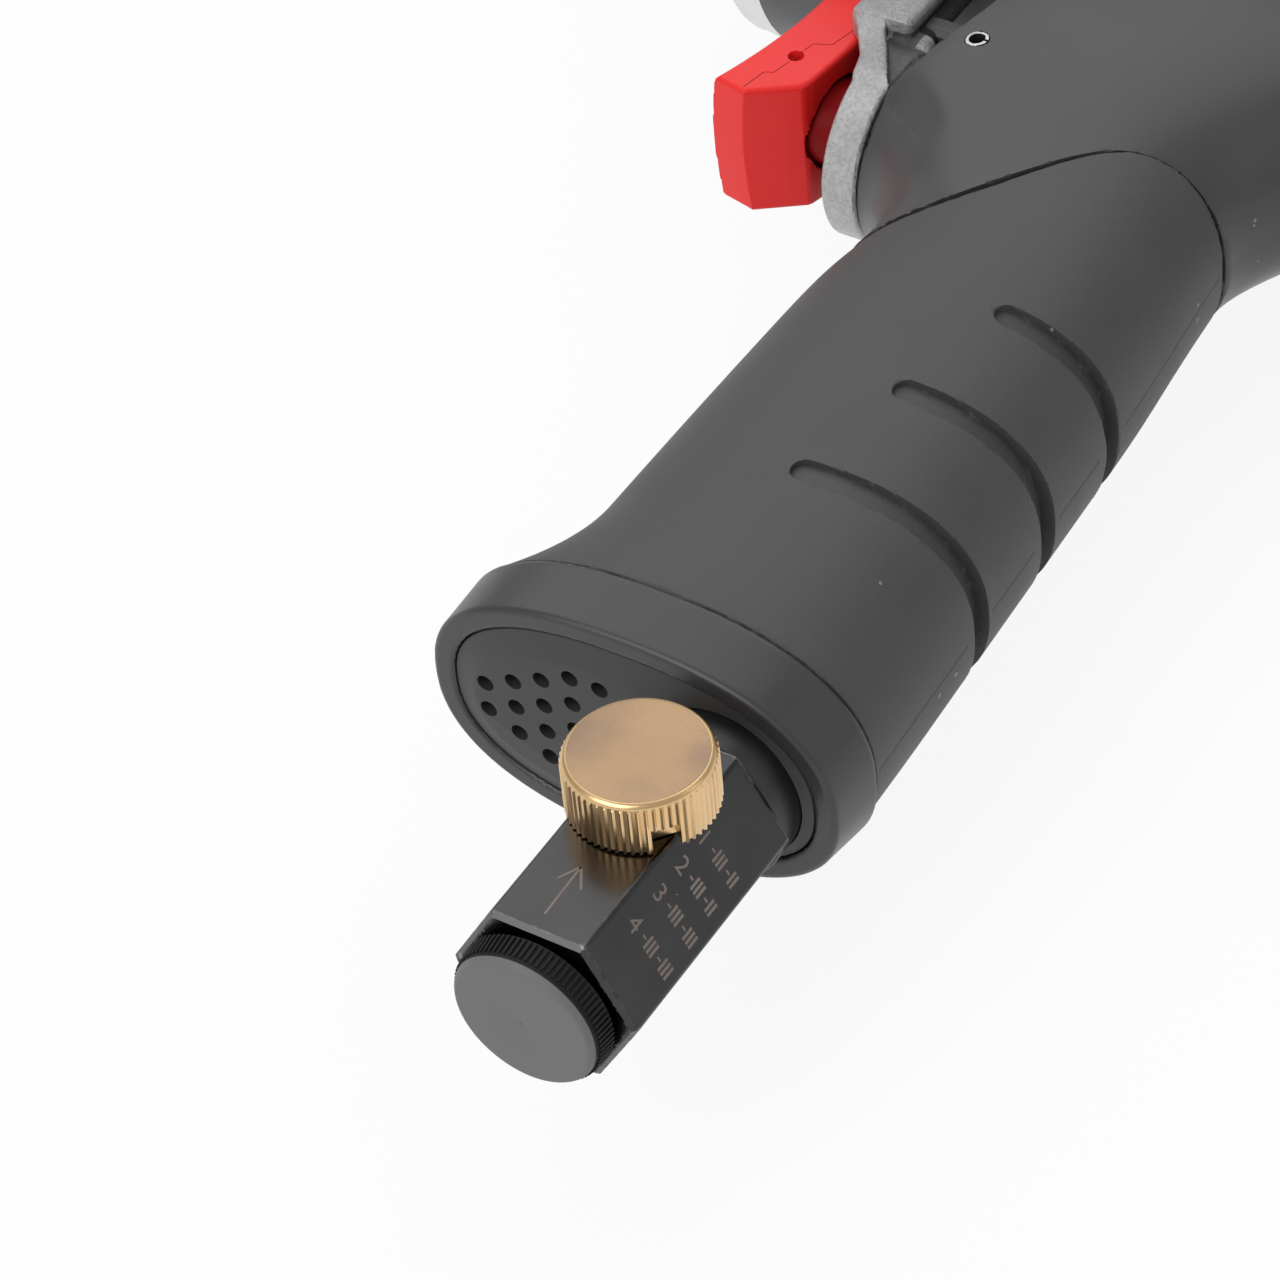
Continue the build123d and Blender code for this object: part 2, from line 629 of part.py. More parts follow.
def make_front_frame():
    """Cast frame: bearing ring with bolt lugs, web, neck and trigger boss."""
    frame = rod_x(FRAME_BACK, FRAME_FRONT, FRAME_RADIUS)
    for y, z in bolt_places(BOLT_COUNT, BOLT_CIRCLE_RADIUS):
        frame += rod_x(FRAME_BACK, FRAME_FRONT, BOLT_LUG_RADIUS, y, z)
    web = block(FRAME_BACK, WEB_FRONT, 0.0, WEB_END_Y, -WEB_HALF_WIDTH, WEB_HALF_WIDTH)
    web = chamfer(web.edges().filter_by(Axis.X).group_by(Axis.Y)[-1], WEB_CHAMFER)
    neck = prism_z(NECK_HALF_WIDTH, *NECK_FRONT, *NECK_BACK)
    boss = rod_x(BOSS_BACK, BOSS_FRONT, BOSS_RADIUS, STEM_Y)
    spine = block(SPINE_BACK, FRAME_BACK, 0.0, SPINE_END_Y, -SPINE_HALF_WIDTH, SPINE_HALF_WIDTH)
    spine -= rod_x(SPINE_BACK, FRAME_BACK, BARREL_BORE + FIT)
    frame += web + neck + boss + spine
    frame -= rod_x(END_PLATE_RECESS_FRONT, FRAME_BACK, END_PLATE_RADIUS)
    frame -= rod_x(BEARING_FRONT, END_PLATE_RECESS_FRONT, FRONT_BEARING_RADIUS)
    frame -= rod_x(FRAME_FRONT, BEARING_FRONT, FRAME_SHAFT_HOLE)
    frame -= rod_x(BOSS_BACK, FRAME_FRONT, BOSS_BORE, STEM_Y)
    pocket = TRIGGER_POCKET_HALF_WIDTH
    pocket_span = (TRIGGER_POCKET_TOP, TRIGGER_POCKET_END)
    frame -= block(TRIGGER_POCKET_BACK, FRAME_FRONT, *pocket_span, -pocket, pocket)
    reverse_bore = REVERSE_RADIUS + SHAFT_CLEARANCE
    frame -= rod_z(-WEB_HALF_WIDTH, WEB_HALF_WIDTH, reverse_bore, REVERSE_X, REVERSE_Y)
    for y, z in bolt_places(BOLT_COUNT, BOLT_CIRCLE_RADIUS):
        frame -= rod_x(FRAME_FRONT, BOLT_END, BOLT_SHANK_RADIUS, y, z)
    return frame


def make_case_gasket():
    """Gasket between the hammer case and the front frame."""
    gasket = rod_x(FRAME_FRONT, CASE_BACK, CASE_RADIUS)
    for y, z in bolt_places(BOLT_COUNT, BOLT_CIRCLE_RADIUS):
        gasket += rod_x(FRAME_FRONT, CASE_BACK, BOLT_LUG_RADIUS, y, z)
    gasket -= rod_x(FRAME_FRONT, CASE_BACK, CASE_CAVITY_RADIUS)
    for y, z in bolt_places(BOLT_COUNT, BOLT_CIRCLE_RADIUS):
        gasket -= rod_x(FRAME_FRONT, CASE_BACK, BOLT_SHANK_RADIUS, y, z)
    return gasket


def make_case_bolts():
    """Socket-head bolts from the case lugs into the front frame."""
    bolts = []
    head_front = CASE_LUG_FRONT + BOLT_HEAD_LENGTH
    socket = RegularPolygon(BOLT_SOCKET_ACROSS_FLATS / 2, 6, major_radius=False)
    for y, z in bolt_places(BOLT_COUNT, BOLT_CIRCLE_RADIUS):
        bolt = rod_x(CASE_LUG_FRONT, head_front, BOLT_HEAD_RADIUS, y, z)
        bolt += rod_x(BOLT_END, CASE_LUG_FRONT, BOLT_SHANK_RADIUS, y, z)
        mouth = Plane(origin=(head_front, y, z), x_dir=(0, 1, 0), z_dir=(1, 0, 0))
        bolt -= extrude(mouth * socket, amount=-SOCKET_DEPTH_SHARE * BOLT_HEAD_LENGTH)
        bolts.append(bolt)
    return bolts


def make_front_bearing():
    """Ball bearing of the rotor in the front frame, as one ring."""
    return ring_x(BEARING_BACK, BEARING_FRONT, FRONT_BEARING_RADIUS, SHAFT_RADIUS + SHAFT_CLEARANCE)


def make_front_end_plate():
    """Plate that closes the front of the motor chamber."""
    return ring_x(LINER_FRONT, END_PLATE_RECESS_FRONT, END_PLATE_RADIUS, END_PLATE_HOLE)


def make_cylinder_liner():
    """Motor chamber with an off-centre bore and exhaust slots towards the handle."""
    liner = rod_x(LINER_BACK, LINER_FRONT, LINER_RADIUS)
    liner -= rod_x(LINER_BACK, LINER_FRONT, LINER_BORE, LINER_OFFSET)
    pitch = (LINER_FRONT - LINER_BACK) / (LINER_PORT_COUNT + 1)
    for index in range(LINER_PORT_COUNT):
        middle = LINER_BACK + pitch * (index + 1)
        half = LINER_PORT_LENGTH / 2
        wide = LINER_PORT_WIDTH / 2
        liner -= block(middle - half, middle + half, LINER_BORE / 2, LINER_RADIUS, -wide, wide)
    return liner


def make_rotor():
    """Slotted rotor with a shaft at each end and a spline stub at the front."""
    body_front = LINER_FRONT - ROTOR_SIDE_GAP
    body_back = LINER_BACK + ROTOR_SIDE_GAP
    rotor = turned(
        (ROTOR_SPLINE_FRONT, 0.0),
        (ROTOR_SPLINE_FRONT, ROTOR_SPLINE_RADIUS),
        (BEARING_FRONT, ROTOR_SPLINE_RADIUS),
        (BEARING_FRONT, SHAFT_RADIUS),
        (body_front, SHAFT_RADIUS),
        (body_front, ROTOR_RADIUS),
        (body_back, ROTOR_RADIUS),
        (body_back, SHAFT_RADIUS),
        (REAR_BEARING_BACK, SHAFT_RADIUS),
        (REAR_BEARING_BACK, 0.0),
    )
    half = VANE_SLOT_WIDTH / 2
    slot = block(body_back, body_front, VANE_SLOT_FLOOR, ROTOR_RADIUS + OVERLAP, -half, half)
    for index in range(VANE_COUNT):
        rotor -= Rot(360.0 * index / VANE_COUNT, 0, 0) * slot
    return rotor


def make_vanes():
    """Vanes lying in the rotor's slots, as they do with no air on."""
    half = VANE_THICKNESS / 2
    front = LINER_FRONT - 2 * ROTOR_SIDE_GAP
    back = LINER_BACK + 2 * ROTOR_SIDE_GAP
    root = VANE_SLOT_FLOOR + VANE_TIP_GAP
    vane = block(back, front, root, ROTOR_RADIUS - VANE_TIP_GAP, -half, half)
    return [Rot(360.0 * index / VANE_COUNT, 0, 0) * vane for index in range(VANE_COUNT)]


def make_rear_end_plate():
    """Plate that closes the back of the motor chamber and holds the rear bearing."""
    plate = ring_x(REAR_PLATE_BACK, LINER_BACK, LINER_RADIUS, END_PLATE_HOLE)
    return plate + ring_x(REAR_BOSS_BACK, REAR_PLATE_BACK, REAR_BOSS_RADIUS, REAR_BEARING_RADIUS)


def make_rear_bearing():
    """Ball bearing at the back of the rotor, as one ring."""
    bore = SHAFT_RADIUS + SHAFT_CLEARANCE
    return ring_x(REAR_BEARING_BACK, REAR_BEARING_FRONT, REAR_BEARING_RADIUS, bore)


def exhaust_passage(top, bottom, shrink):
    """Rounded rectangular column in the front half of the handle."""
    width = EXHAUST_TO_X - EXHAUST_FROM_X - 2 * shrink
    depth = 2 * (EXHAUST_HALF_WIDTH - shrink)
    middle = (EXHAUST_FROM_X + EXHAUST_TO_X) / 2
    place = Plane(origin=(middle, top, 0), x_dir=(1, 0, 0), z_dir=(0, 1, 0))
    return extrude(place * RectangleRounded(width, depth, EXHAUST_CORNER), amount=bottom - top)


def make_upper_handle():
    """Handle above the seam: panels with a crisp front edge and a snout behind the trigger boss."""
    steps = even_steps(HOUSING_TOP_Y, HOUSING_END_Y, HOUSING_SECTION_COUNT)
    edge = ThreePointArc(PANEL_EDGE_TOP, PANEL_EDGE_MIDDLE, PANEL_EDGE_END)
    corners = ((PANEL_EDGE_END[0], HOUSING_END_Y), (0.0, HOUSING_END_Y), (0.0, PANEL_EDGE_TOP[1]))
    rest = Polyline(PANEL_EDGE_END, *corners, PANEL_EDGE_TOP)
    ahead = extrude(make_face([edge, rest]), amount=BARREL_RADIUS, both=True)
    panels = loft([housing_section(y) for y in steps]) - ahead
    front = Plane.YZ.offset(BOSS_BACK) * Pos(STEM_Y, 0) * Circle(SNOUT_FRONT_RADIUS)
    back_oval = Ellipse(SNOUT_BACK_HALF_HEIGHT, SNOUT_BACK_HALF_WIDTH)
    back = Plane.YZ.offset(SNOUT_BACK) * Pos(SNOUT_BACK_Y, 0) * back_oval
    return panels + loft([front, back]) - below_seam(0.0)


def make_motor_housing():
    """Composite body: motor barrel, web, trigger snout and the core of the handle."""
    barrel = turned(
        (FRAME_BACK, 0.0),
        (FRAME_BACK, BARREL_RADIUS),
        (BARREL_TAIL_X, BARREL_RADIUS),
        (BARREL_BACK, BARREL_TAIL_RADIUS),
        (BARREL_BACK, 0.0),
    )
    core = grip_core() - block(COVER_BACK, 0.0, CORE_END_Y, FOOT_BOTTOM_Y, -BARREL_RADIUS, BARREL_RADIUS)
    housing = barrel + make_upper_handle() + core
    housing -= rod_x(REAR_PLATE_BACK, FRAME_BACK, BARREL_BORE)
    housing -= rod_x(BARREL_BACK, REAR_PLATE_BACK, BARREL_REAR_BORE)
    spine = SPINE_HALF_WIDTH + FIT
    housing -= block(SPINE_BACK - FIT, FRAME_BACK, 0.0, SPINE_END_Y + FIT, -spine, spine)
    for side in (-1, 1):
        ends = (SPINE_BACK, FRAME_BACK - FIT)
        housing += block(*ends, RIB_FROM_Y, RIB_TO_Y, side * RIB_INNER_Z, side * RIB_OUTER_Z)
    housing -= rod_x(BOSS_RECESS_BACK, BOSS_BACK, BOSS_BORE, STEM_Y)
    housing -= rod_x(STEM_BUSHING_BACK, BOSS_BACK, STEM_BUSHING_RADIUS, STEM_Y)
    housing -= rod_x(CHAMBER_BACK, STEM_BUSHING_BACK, CHAMBER_RADIUS, STEM_Y)
    housing -= rod_y(STEM_Y, CORE_END_Y, INLET_PASSAGE_RADIUS, INLET_X)
    housing -= rod_y(BUSHING_TOP_Y, CORE_END_Y, BUSHING_RADIUS, INLET_X)
    housing -= exhaust_passage(EXHAUST_TOP_Y, CORE_END_Y, 0.0)
    for z in (-EXHAUST_DUCT_Z, EXHAUST_DUCT_Z):
        duct_end = EXHAUST_TOP_Y + OVERLAP
        housing -= rod_y(EXHAUST_DUCT_TOP_Y, duct_end, EXHAUST_DUCT_RADIUS, EXHAUST_DUCT_X, z)
    housing -= rod_z(-BARREL_RADIUS, BARREL_RADIUS, BUSHING_PIN_RADIUS, BUSHING_PIN_X, BUSHING_PIN_Y)
    for y, z in bolt_places(SCREW_COUNT, SCREW_CIRCLE_RADIUS):
        housing -= rod_x(BARREL_BACK, SCREW_FRONT, SCREW_SHANK_RADIUS, y, z)
    return housing


def make_rear_gasket():
    """Gasket under the rear cover."""
    gasket = ring_x(COVER_FRONT, BARREL_BACK, BARREL_TAIL_RADIUS, BARREL_REAR_BORE)
    for y, z in bolt_places(SCREW_COUNT, SCREW_CIRCLE_RADIUS):
        gasket -= rod_x(COVER_FRONT, BARREL_BACK, SCREW_SHANK_RADIUS, y, z)
    return gasket


def make_rear_cover():
    """Dished cover with a pilot ring and a countersunk seat for each screw."""
    cover = turned(
        (COVER_FRONT, 0.0),
        (COVER_FRONT, BARREL_TAIL_RADIUS),
        (COVER_LAND, BARREL_TAIL_RADIUS),
        (COVER_BACK, COVER_FACE_RADIUS),
        (COVER_BACK, 0.0),
    )
    cover += ring_x(COVER_FRONT, COVER_PILOT_FRONT, COVER_PILOT_RADIUS, COVER_PILOT_BORE)
    for y, z in bolt_places(SCREW_COUNT, SCREW_CIRCLE_RADIUS):
        cover -= rod_x(COVER_BACK, SCREW_SEAT, SCREW_HEAD_RADIUS + FIT, y, z)
        cover -= rod_x(SCREW_SEAT, COVER_FRONT, SCREW_SHANK_RADIUS, y, z)
    return cover


def make_cover_screws():
    """Socket-head screws of the rear cover."""
    screws = []
    head_back = SCREW_SEAT - SCREW_HEAD_LENGTH
    socket = RegularPolygon(SCREW_RECESS_ACROSS_FLATS / 2, 6, major_radius=False)
    for y, z in bolt_places(SCREW_COUNT, SCREW_CIRCLE_RADIUS):
        screw = rod_x(head_back, SCREW_SEAT, SCREW_HEAD_RADIUS, y, z)
        screw += rod_x(SCREW_SEAT, SCREW_FRONT, SCREW_SHANK_RADIUS, y, z)
        mouth = Plane(origin=(head_back, y, z), x_dir=(0, 1, 0), z_dir=(-1, 0, 0))
        screw -= extrude(mouth * socket, amount=-SOCKET_DEPTH_SHARE * SCREW_HEAD_LENGTH)
        screws.append(screw)
    return screws


def make_grip_sleeve():
    """Soft sleeve on the handle with finger grooves that deepen towards the back."""
    sleeve = (grip_loft(sleeve_edges) & below_seam(SEAM_GAP)) - grip_core()
    floor = grip_loft(sleeve_edges, GROOVE_BACK_DEPTH, GROOVE_SIDE_DEPTH)
    strip = Pos(-GROOVE_REACH / 2, 0) * Rectangle(GROOVE_REACH, GROOVE_WIDTH) + Circle(GROOVE_WIDTH / 2)
    for x, y in GROOVE_STARTS:
        groove = extrude(Pos(x, y) * Rot(0, 0, GROOVE_TILT) * strip, amount=BARREL_RADIUS, both=True)
        sleeve -= groove - floor
    return sleeve


def foot_oval(y, edges, inset):
    """Oval of the foot at distance y, drawn in by inset."""
    back, front, half_width = edges
    return oval(y, back + inset, front - inset, half_width - inset)


def make_foot_cap():
    """Flared cap at the end of the handle with a rounded rim and a floor."""
    rim = foot_oval(FOOT_RIM_Y, FOOT_RIM_OVAL, 0.0)
    cap = loft([foot_oval(FOOT_TOP_Y, FOOT_TOP_OVAL, 0.0), rim])
    rounding = [
        rim,
        foot_oval((FOOT_RIM_Y + 2 * FOOT_BOTTOM_Y) / 3, FOOT_RIM_OVAL, FOOT_BOTTOM_INSET / 3),
        foot_oval(FOOT_BOTTOM_Y, FOOT_RIM_OVAL, FOOT_BOTTOM_INSET),
    ]
    cap += loft(rounding, ruled=True)
    mouth = foot_oval(FOOT_FLOOR_Y, FOOT_RIM_OVAL, RIM_WIDTH)
    cap -= extrude(mouth, amount=FOOT_BOTTOM_Y - FOOT_FLOOR_Y)
    cap -= rod_y(FOOT_TOP_Y, FOOT_FLOOR_Y, BUSHING_RADIUS, INLET_X)
    return cap - exhaust_passage(FOOT_TOP_Y, FOOT_FLOOR_Y, 0.0)


def make_exhaust_grille():
    """Perforated plate in the foot with a bevelled border."""
    inset = RIM_WIDTH + GRILLE_FIT
    border = foot_oval(GRILLE_EDGE_Y, FOOT_RIM_OVAL, inset)
    face = foot_oval(GRILLE_FACE_Y, FOOT_RIM_OVAL, inset + GRILLE_BEVEL)
    plate = extrude(border, amount=FOOT_FLOOR_Y - GRILLE_EDGE_Y) + loft([border, face])
    plate -= rod_y(FOOT_FLOOR_Y, GRILLE_FACE_Y, BUSHING_COLLAR_RADIUS + GRILLE_FIT, INLET_X)
    for column, count in enumerate(HOLE_COLUMNS):
        x = HOLE_FIRST_X - HOLE_PITCH_X * column
        for index in range(count):
            z = HOLE_PITCH_Z * (index - (count - 1) / 2)
            plate -= rod_y(FOOT_FLOOR_Y, GRILLE_FACE_Y, HOLE_RADIUS, x, z)
    return plate


def make_silencer_felt():
    """Felt block in the exhaust passage above the grille."""
    return exhaust_passage(FELT_TOP_Y, FOOT_FLOOR_Y, FELT_FIT)


def make_inlet_bushing():
    """Threaded bushing in the handle with a round collar below the foot."""
    bushing = rod_y(BUSHING_TOP_Y, BUSHING_COLLAR_TOP_Y, BUSHING_RADIUS, INLET_X)
    bushing += rod_y(FOOT_FLOOR_Y, HEX_TOP_Y, BUSHING_COLLAR_RADIUS, INLET_X)
    bushing -= rod_y(BUSHING_THREAD_TOP_Y, HEX_TOP_Y, THREAD_RADIUS, INLET_X)
    return bushing - rod_y(BUSHING_TOP_Y, BUSHING_THREAD_TOP_Y, BUSHING_BORE, INLET_X)


def make_inlet_screen():
    """Thimble-shaped air strainer."""
    screen = rod_y(SCREEN_TOP_Y, BUSHING_THREAD_TOP_Y, SCREEN_RADIUS, INLET_X)
    bore = SCREEN_RADIUS - SCREEN_WALL
    return screen - rod_y(SCREEN_TOP_Y + SCREEN_WALL, BUSHING_THREAD_TOP_Y, bore, INLET_X)


def make_regulator_body():
    """Hexagon bar with a male thread, an inlet bore and a cross bore for the spool."""
    start = Plane(origin=(INLET_X, HEX_TOP_Y, 0), x_dir=(1, 0, 0), z_dir=(0, 1, 0))
    hexagon = RegularPolygon(HEX_ACROSS_FLATS / 2, 6, major_radius=False)
    body = extrude(start * hexagon, amount=HEX_END_Y - HEX_TOP_Y)
    body = chamfer(body.faces().sort_by(Axis.Y)[-1].edges(), HEX_END_CHAMFER)
    body += rod_y(NIPPLE_TOP_Y, HEX_TOP_Y, NIPPLE_RADIUS, INLET_X)
    body -= rod_y(INLET_BORE_TOP_Y, HEX_END_Y, THREAD_RADIUS, INLET_X)
    body -= rod_y(NIPPLE_TOP_Y, INLET_BORE_TOP_Y, REGULATOR_PASSAGE, INLET_X)
    return body - rod_z(SPOOL_FLOOR_Z, HEX_ACROSS_FLATS / 2, SPOOL_BORE, INLET_X, KNOB_Y)


def make_regulator_knob():
    """Knurled knob with a chamfered face and a notch in its lower edge."""
    outline = []
    for tooth in range(2 * KNOB_TEETH):
        radius = KNOB_RADIUS - KNOB_TOOTH_DEPTH * (tooth % 2)
        angle = pi * tooth / KNOB_TEETH
        outline.append((radius * cos(angle), radius * sin(angle)))
    height = KNOB_TOP_Z - KNOB_BOTTOM_Z
    knob = extrude(make_face(Polyline(*outline, close=True)), amount=height)
    edge = Cylinder(KNOB_RADIUS + OVERLAP, height, align=(Align.CENTER, Align.CENTER, Align.MIN))
    edge = chamfer(edge.edges().group_by(Axis.Z)[-1], KNOB_CHAMFER + OVERLAP)
    knob = knob & edge
    reach = KNOB_RADIUS - KNOB_NOTCH_DEPTH
    half = KNOB_NOTCH_WIDTH / 2
    notch = block(reach, 2 * KNOB_RADIUS, -half, half, 0.0, KNOB_NOTCH_HEIGHT)
    knob -= Rot(0, 0, KNOB_NOTCH_ANGLE) * notch
    return Pos(INLET_X, KNOB_Y, KNOB_BOTTOM_Z) * knob


def make_regulator_spool():
    """Valve spool turned by the knob, with a cross port and a seal groove."""
    spool = rod_z(SPOOL_BOTTOM_Z, KNOB_BOTTOM_Z, SPOOL_RADIUS, INLET_X, KNOB_Y)
    spool -= rod_y(KNOB_Y - SPOOL_BORE, KNOB_Y + SPOOL_BORE, SPOOL_PORT_RADIUS, INLET_X)
    half = SEAL_SECTION_RADIUS
    seat = rod_z(SPOOL_SEAL_Z - half, SPOOL_SEAL_Z + half, SPOOL_RADIUS, INLET_X, KNOB_Y)
    seat -= rod_z(SPOOL_SEAL_Z - half, SPOOL_SEAL_Z + half, SPOOL_RADIUS - 2 * half, INLET_X, KNOB_Y)
    return spool - seat


def make_spool_seal():
    """Ring seal in the spool's groove."""
    half = SEAL_SECTION_RADIUS
    outer = rod_z(SPOOL_SEAL_Z - half, SPOOL_SEAL_Z + half, SPOOL_RADIUS, INLET_X, KNOB_Y)
    return outer - rod_z(SPOOL_SEAL_Z - half, SPOOL_SEAL_Z + half, SPOOL_RADIUS - 2 * half, INLET_X, KNOB_Y)


def make_dust_plug():
    """Push-in plug with a wide round head and a hollow stem."""
    head_back = HEX_END_Y + PLUG_GAP
    head = turned(
        (head_back, 0.0),
        (head_back, PLUG_HEAD_BACK_RADIUS),
        (PLUG_FACE_Y - PLUG_EDGE_ROUND, PLUG_FACE_RADIUS + PLUG_EDGE_ROUND),
        (PLUG_FACE_Y, PLUG_FACE_RADIUS),
        (PLUG_FACE_Y, 0.0),
    )
    plug = Pos(INLET_X, 0, 0) * Rot(0, 0, 90) * head
    plug += rod_y(PLUG_STEM_TOP_Y, head_back, PLUG_STEM_RADIUS, INLET_X)
    return plug - rod_y(PLUG_STEM_TOP_Y, head_back, PLUG_STEM_RADIUS - PLUG_WALL, INLET_X)


def make_trigger():
    """Moulded trigger with a hollow finger face, and a skirt and a boss round the stem."""
    face = ThreePointArc(TRIGGER_TIP, TRIGGER_FRONT_MIDDLE, TRIGGER_TOP_FRONT)
    back = (TRIGGER_TOP_BACK, TRIGGER_SHOULDER, TRIGGER_BACK_TOP, TRIGGER_HEEL)
    rest = Polyline(TRIGGER_TOP_FRONT, *back, TRIGGER_CHIN, TRIGGER_TIP)
    trigger = extrude(make_face([face, rest]), amount=TRIGGER_HALF_WIDTH, both=True)
    sides = trigger.faces().filter_by(Axis.Z)
    trigger = chamfer(sides.edges(), TRIGGER_EDGE)
    ends = (TRIGGER_SKIRT_BACK, TRIGGER_SKIRT_FRONT)
    trigger += ring_x(*ends, TRIGGER_SKIRT_RADIUS, TRIGGER_SKIRT_BORE, STEM_Y)
    trigger += rod_x(*ends, TRIGGER_BOSS_RADIUS, STEM_Y)
    trigger -= rod_x(TRIGGER_SKIRT_BACK, STEM_FRONT, STEM_RADIUS, STEM_Y)
    half = TRIGGER_HALF_WIDTH
    return trigger - rod_z(-half, half, TRIGGER_PIN_RADIUS, TRIGGER_PIN_X, STEM_Y)


def make_trigger_pin():
    """Cross pin that holds the trigger on its stem."""
    half = TRIGGER_PIN_HALF_LENGTH
    return rod_z(-half, half, TRIGGER_PIN_RADIUS, TRIGGER_PIN_X, STEM_Y)


def make_trigger_stem():
    """Steel rod from the trigger to the throttle valve."""
    stem = rod_x(STEM_BACK, STEM_FRONT, STEM_RADIUS, STEM_Y)
    return stem - rod_z(-STEM_RADIUS, STEM_RADIUS, TRIGGER_PIN_RADIUS, TRIGGER_PIN_X, STEM_Y)


def make_stem_bushing():
    """Guide of the trigger stem, notched for the bushing pin and the seal."""
    ends = (STEM_BUSHING_BACK, STEM_BUSHING_FRONT)
    bushing = ring_x(*ends, STEM_BUSHING_RADIUS, STEM_RADIUS + SHAFT_CLEARANCE, STEM_Y)
    recess_floor = STEM_BUSHING_FRONT - STEM_SEAL_RECESS_LENGTH
    bushing -= rod_x(recess_floor, STEM_BUSHING_FRONT, STEM_SEAL_RECESS, STEM_Y)
    half = STEM_BUSHING_RADIUS
    return bushing - rod_z(-half, half, BUSHING_PIN_RADIUS, BUSHING_PIN_X, BUSHING_PIN_Y)


def make_stem_seal():
    """Ring seal on the trigger stem, with bevelled edges."""
    inner = STEM_RADIUS + SHAFT_CLEARANCE
    middle = inner + STEM_SEAL_SECTION
    outer = middle + STEM_SEAL_SECTION
    half = STEM_SEAL_SECTION
    ring = turned((-half, inner), (-half, middle), (0.0, outer), (half, middle), (half, inner))
    return Pos(STEM_SEAL_X, STEM_Y, 0) * ring


def make_throttle_seat():
    """Seat that the throttle valve closes against."""
    return ring_x(SEAT_BACK, STEM_BUSHING_BACK, CHAMBER_RADIUS, SEAT_BORE, STEM_Y)


def make_throttle_valve():
    """Valve disc on the end of the trigger stem."""
    return rod_x(VALVE_BACK, VALVE_FRONT, VALVE_RADIUS, STEM_Y)


def make_throttle_spring():
    """Envelope of the return spring behind the valve."""
    return ring_x(CHAMBER_BACK, VALVE_BACK, SPRING_RADIUS, SPRING_BORE, STEM_Y)


def make_bushing_pin():
    """Rolled spring pin across the housing, open along one side."""
    half = BUSHING_PIN_HALF_LENGTH
    pin = Cylinder(BUSHING_PIN_RADIUS, 2 * half) - Cylinder(BUSHING_PIN_RADIUS - BUSHING_PIN_WALL, 2 * half)
    gap = BUSHING_PIN_SLOT / 2
    slot = block(0.0, 2 * BUSHING_PIN_RADIUS, -gap, gap, -half, half)
    pin -= Rot(0, 0, BUSHING_PIN_SLOT_ANGLE) * slot
    return Pos(BUSHING_PIN_X, BUSHING_PIN_Y, 0) * pin


def make_reverse_spool():
    """Sliding spool that swaps the motor's air ports, resting in its forward place."""
    half = REVERSE_HALF_LENGTH - REVERSE_BUTTON_LENGTH
    waist = REVERSE_WAIST_HALF_LENGTH
    spool = Cylinder(REVERSE_WAIST_RADIUS, 2 * half)
    for land_from, land_to in ((-half, -waist), (waist, half)):
        spool += rod_z(land_from, land_to, REVERSE_RADIUS)
    return Pos(REVERSE_X, REVERSE_Y, REVERSE_REST_Z) * spool


def make_reverse_buttons():
    """Caps on both ends of the reverse spool."""
    buttons = []
    cap = Cylinder(REVERSE_RADIUS, REVERSE_BUTTON_LENGTH)
    cap = chamfer(cap.edges().group_by(Axis.Z)[-1], REVERSE_BUTTON_CHAMFER)
    cap = Pos(0, 0, REVERSE_HALF_LENGTH - REVERSE_BUTTON_LENGTH / 2) * cap
    for turn in (0.0, 180.0):
        buttons.append(Pos(REVERSE_X, REVERSE_Y, REVERSE_REST_Z) * Rot(turn, 0, 0) * cap)
    return buttons


PARTS = {
    "anvil": make_anvil(),
    "socket_ring": make_socket_ring(),
    "socket_cushion": make_socket_cushion(),
    "hammer_case": make_hammer_case(),
    "nose_bushing": make_nose_bushing(),
    "hammer_cage": make_hammer_cage(),
    "rear_hammer": make_hammer(REAR_HAMMER_BACK, 1, 180.0),
    "front_hammer": make_hammer(REAR_HAMMER_BACK + HAMMER_SPACING, -1, 0.0),
    "hammer_pins": make_hammer_pins(),
    "case_gasket": make_case_gasket(),
    "case_bolts": make_case_bolts(),
    "front_frame": make_front_frame(),
    "front_bearing": make_front_bearing(),
    "front_end_plate": make_front_end_plate(),
    "cylinder_liner": make_cylinder_liner(),
    "rotor": make_rotor(),
    "vanes": make_vanes(),
    "rear_end_plate": make_rear_end_plate(),
    "rear_bearing": make_rear_bearing(),
    "motor_housing": make_motor_housing(),
    "rear_gasket": make_rear_gasket(),
    "rear_cover": make_rear_cover(),
    "cover_screws": make_cover_screws(),
    "grip_sleeve": make_grip_sleeve(),
    "foot_cap": make_foot_cap(),
    "exhaust_grille": make_exhaust_grille(),
    "silencer_felt": make_silencer_felt(),
    "inlet_bushing": make_inlet_bushing(),
    "inlet_screen": make_inlet_screen(),
    "regulator_body": make_regulator_body(),
    "regulator_knob": make_regulator_knob(),
    "regulator_spool": make_regulator_spool(),
    "spool_seal": make_spool_seal(),
    "dust_plug": make_dust_plug(),
    "trigger": make_trigger(),
    "trigger_pin": make_trigger_pin(),
    "trigger_stem": make_trigger_stem(),
    "stem_bushing": make_stem_bushing(),
    "stem_seal": make_stem_seal(),
    "throttle_seat": make_throttle_seat(),
    "throttle_valve": make_throttle_valve(),
    "throttle_spring": make_throttle_spring(),
    "bushing_pin": make_bushing_pin(),
    "reverse_spool": make_reverse_spool(),
    "reverse_buttons": make_reverse_buttons(),
}

os.makedirs("parts", exist_ok=True)
for name, shape in PARTS.items():
    pieces = shape if isinstance(shape, list) else [shape]
    solids = [solid for piece in pieces for solid in piece.solids()]
    export_step(Compound(children=solids), f"parts/{name}.step")
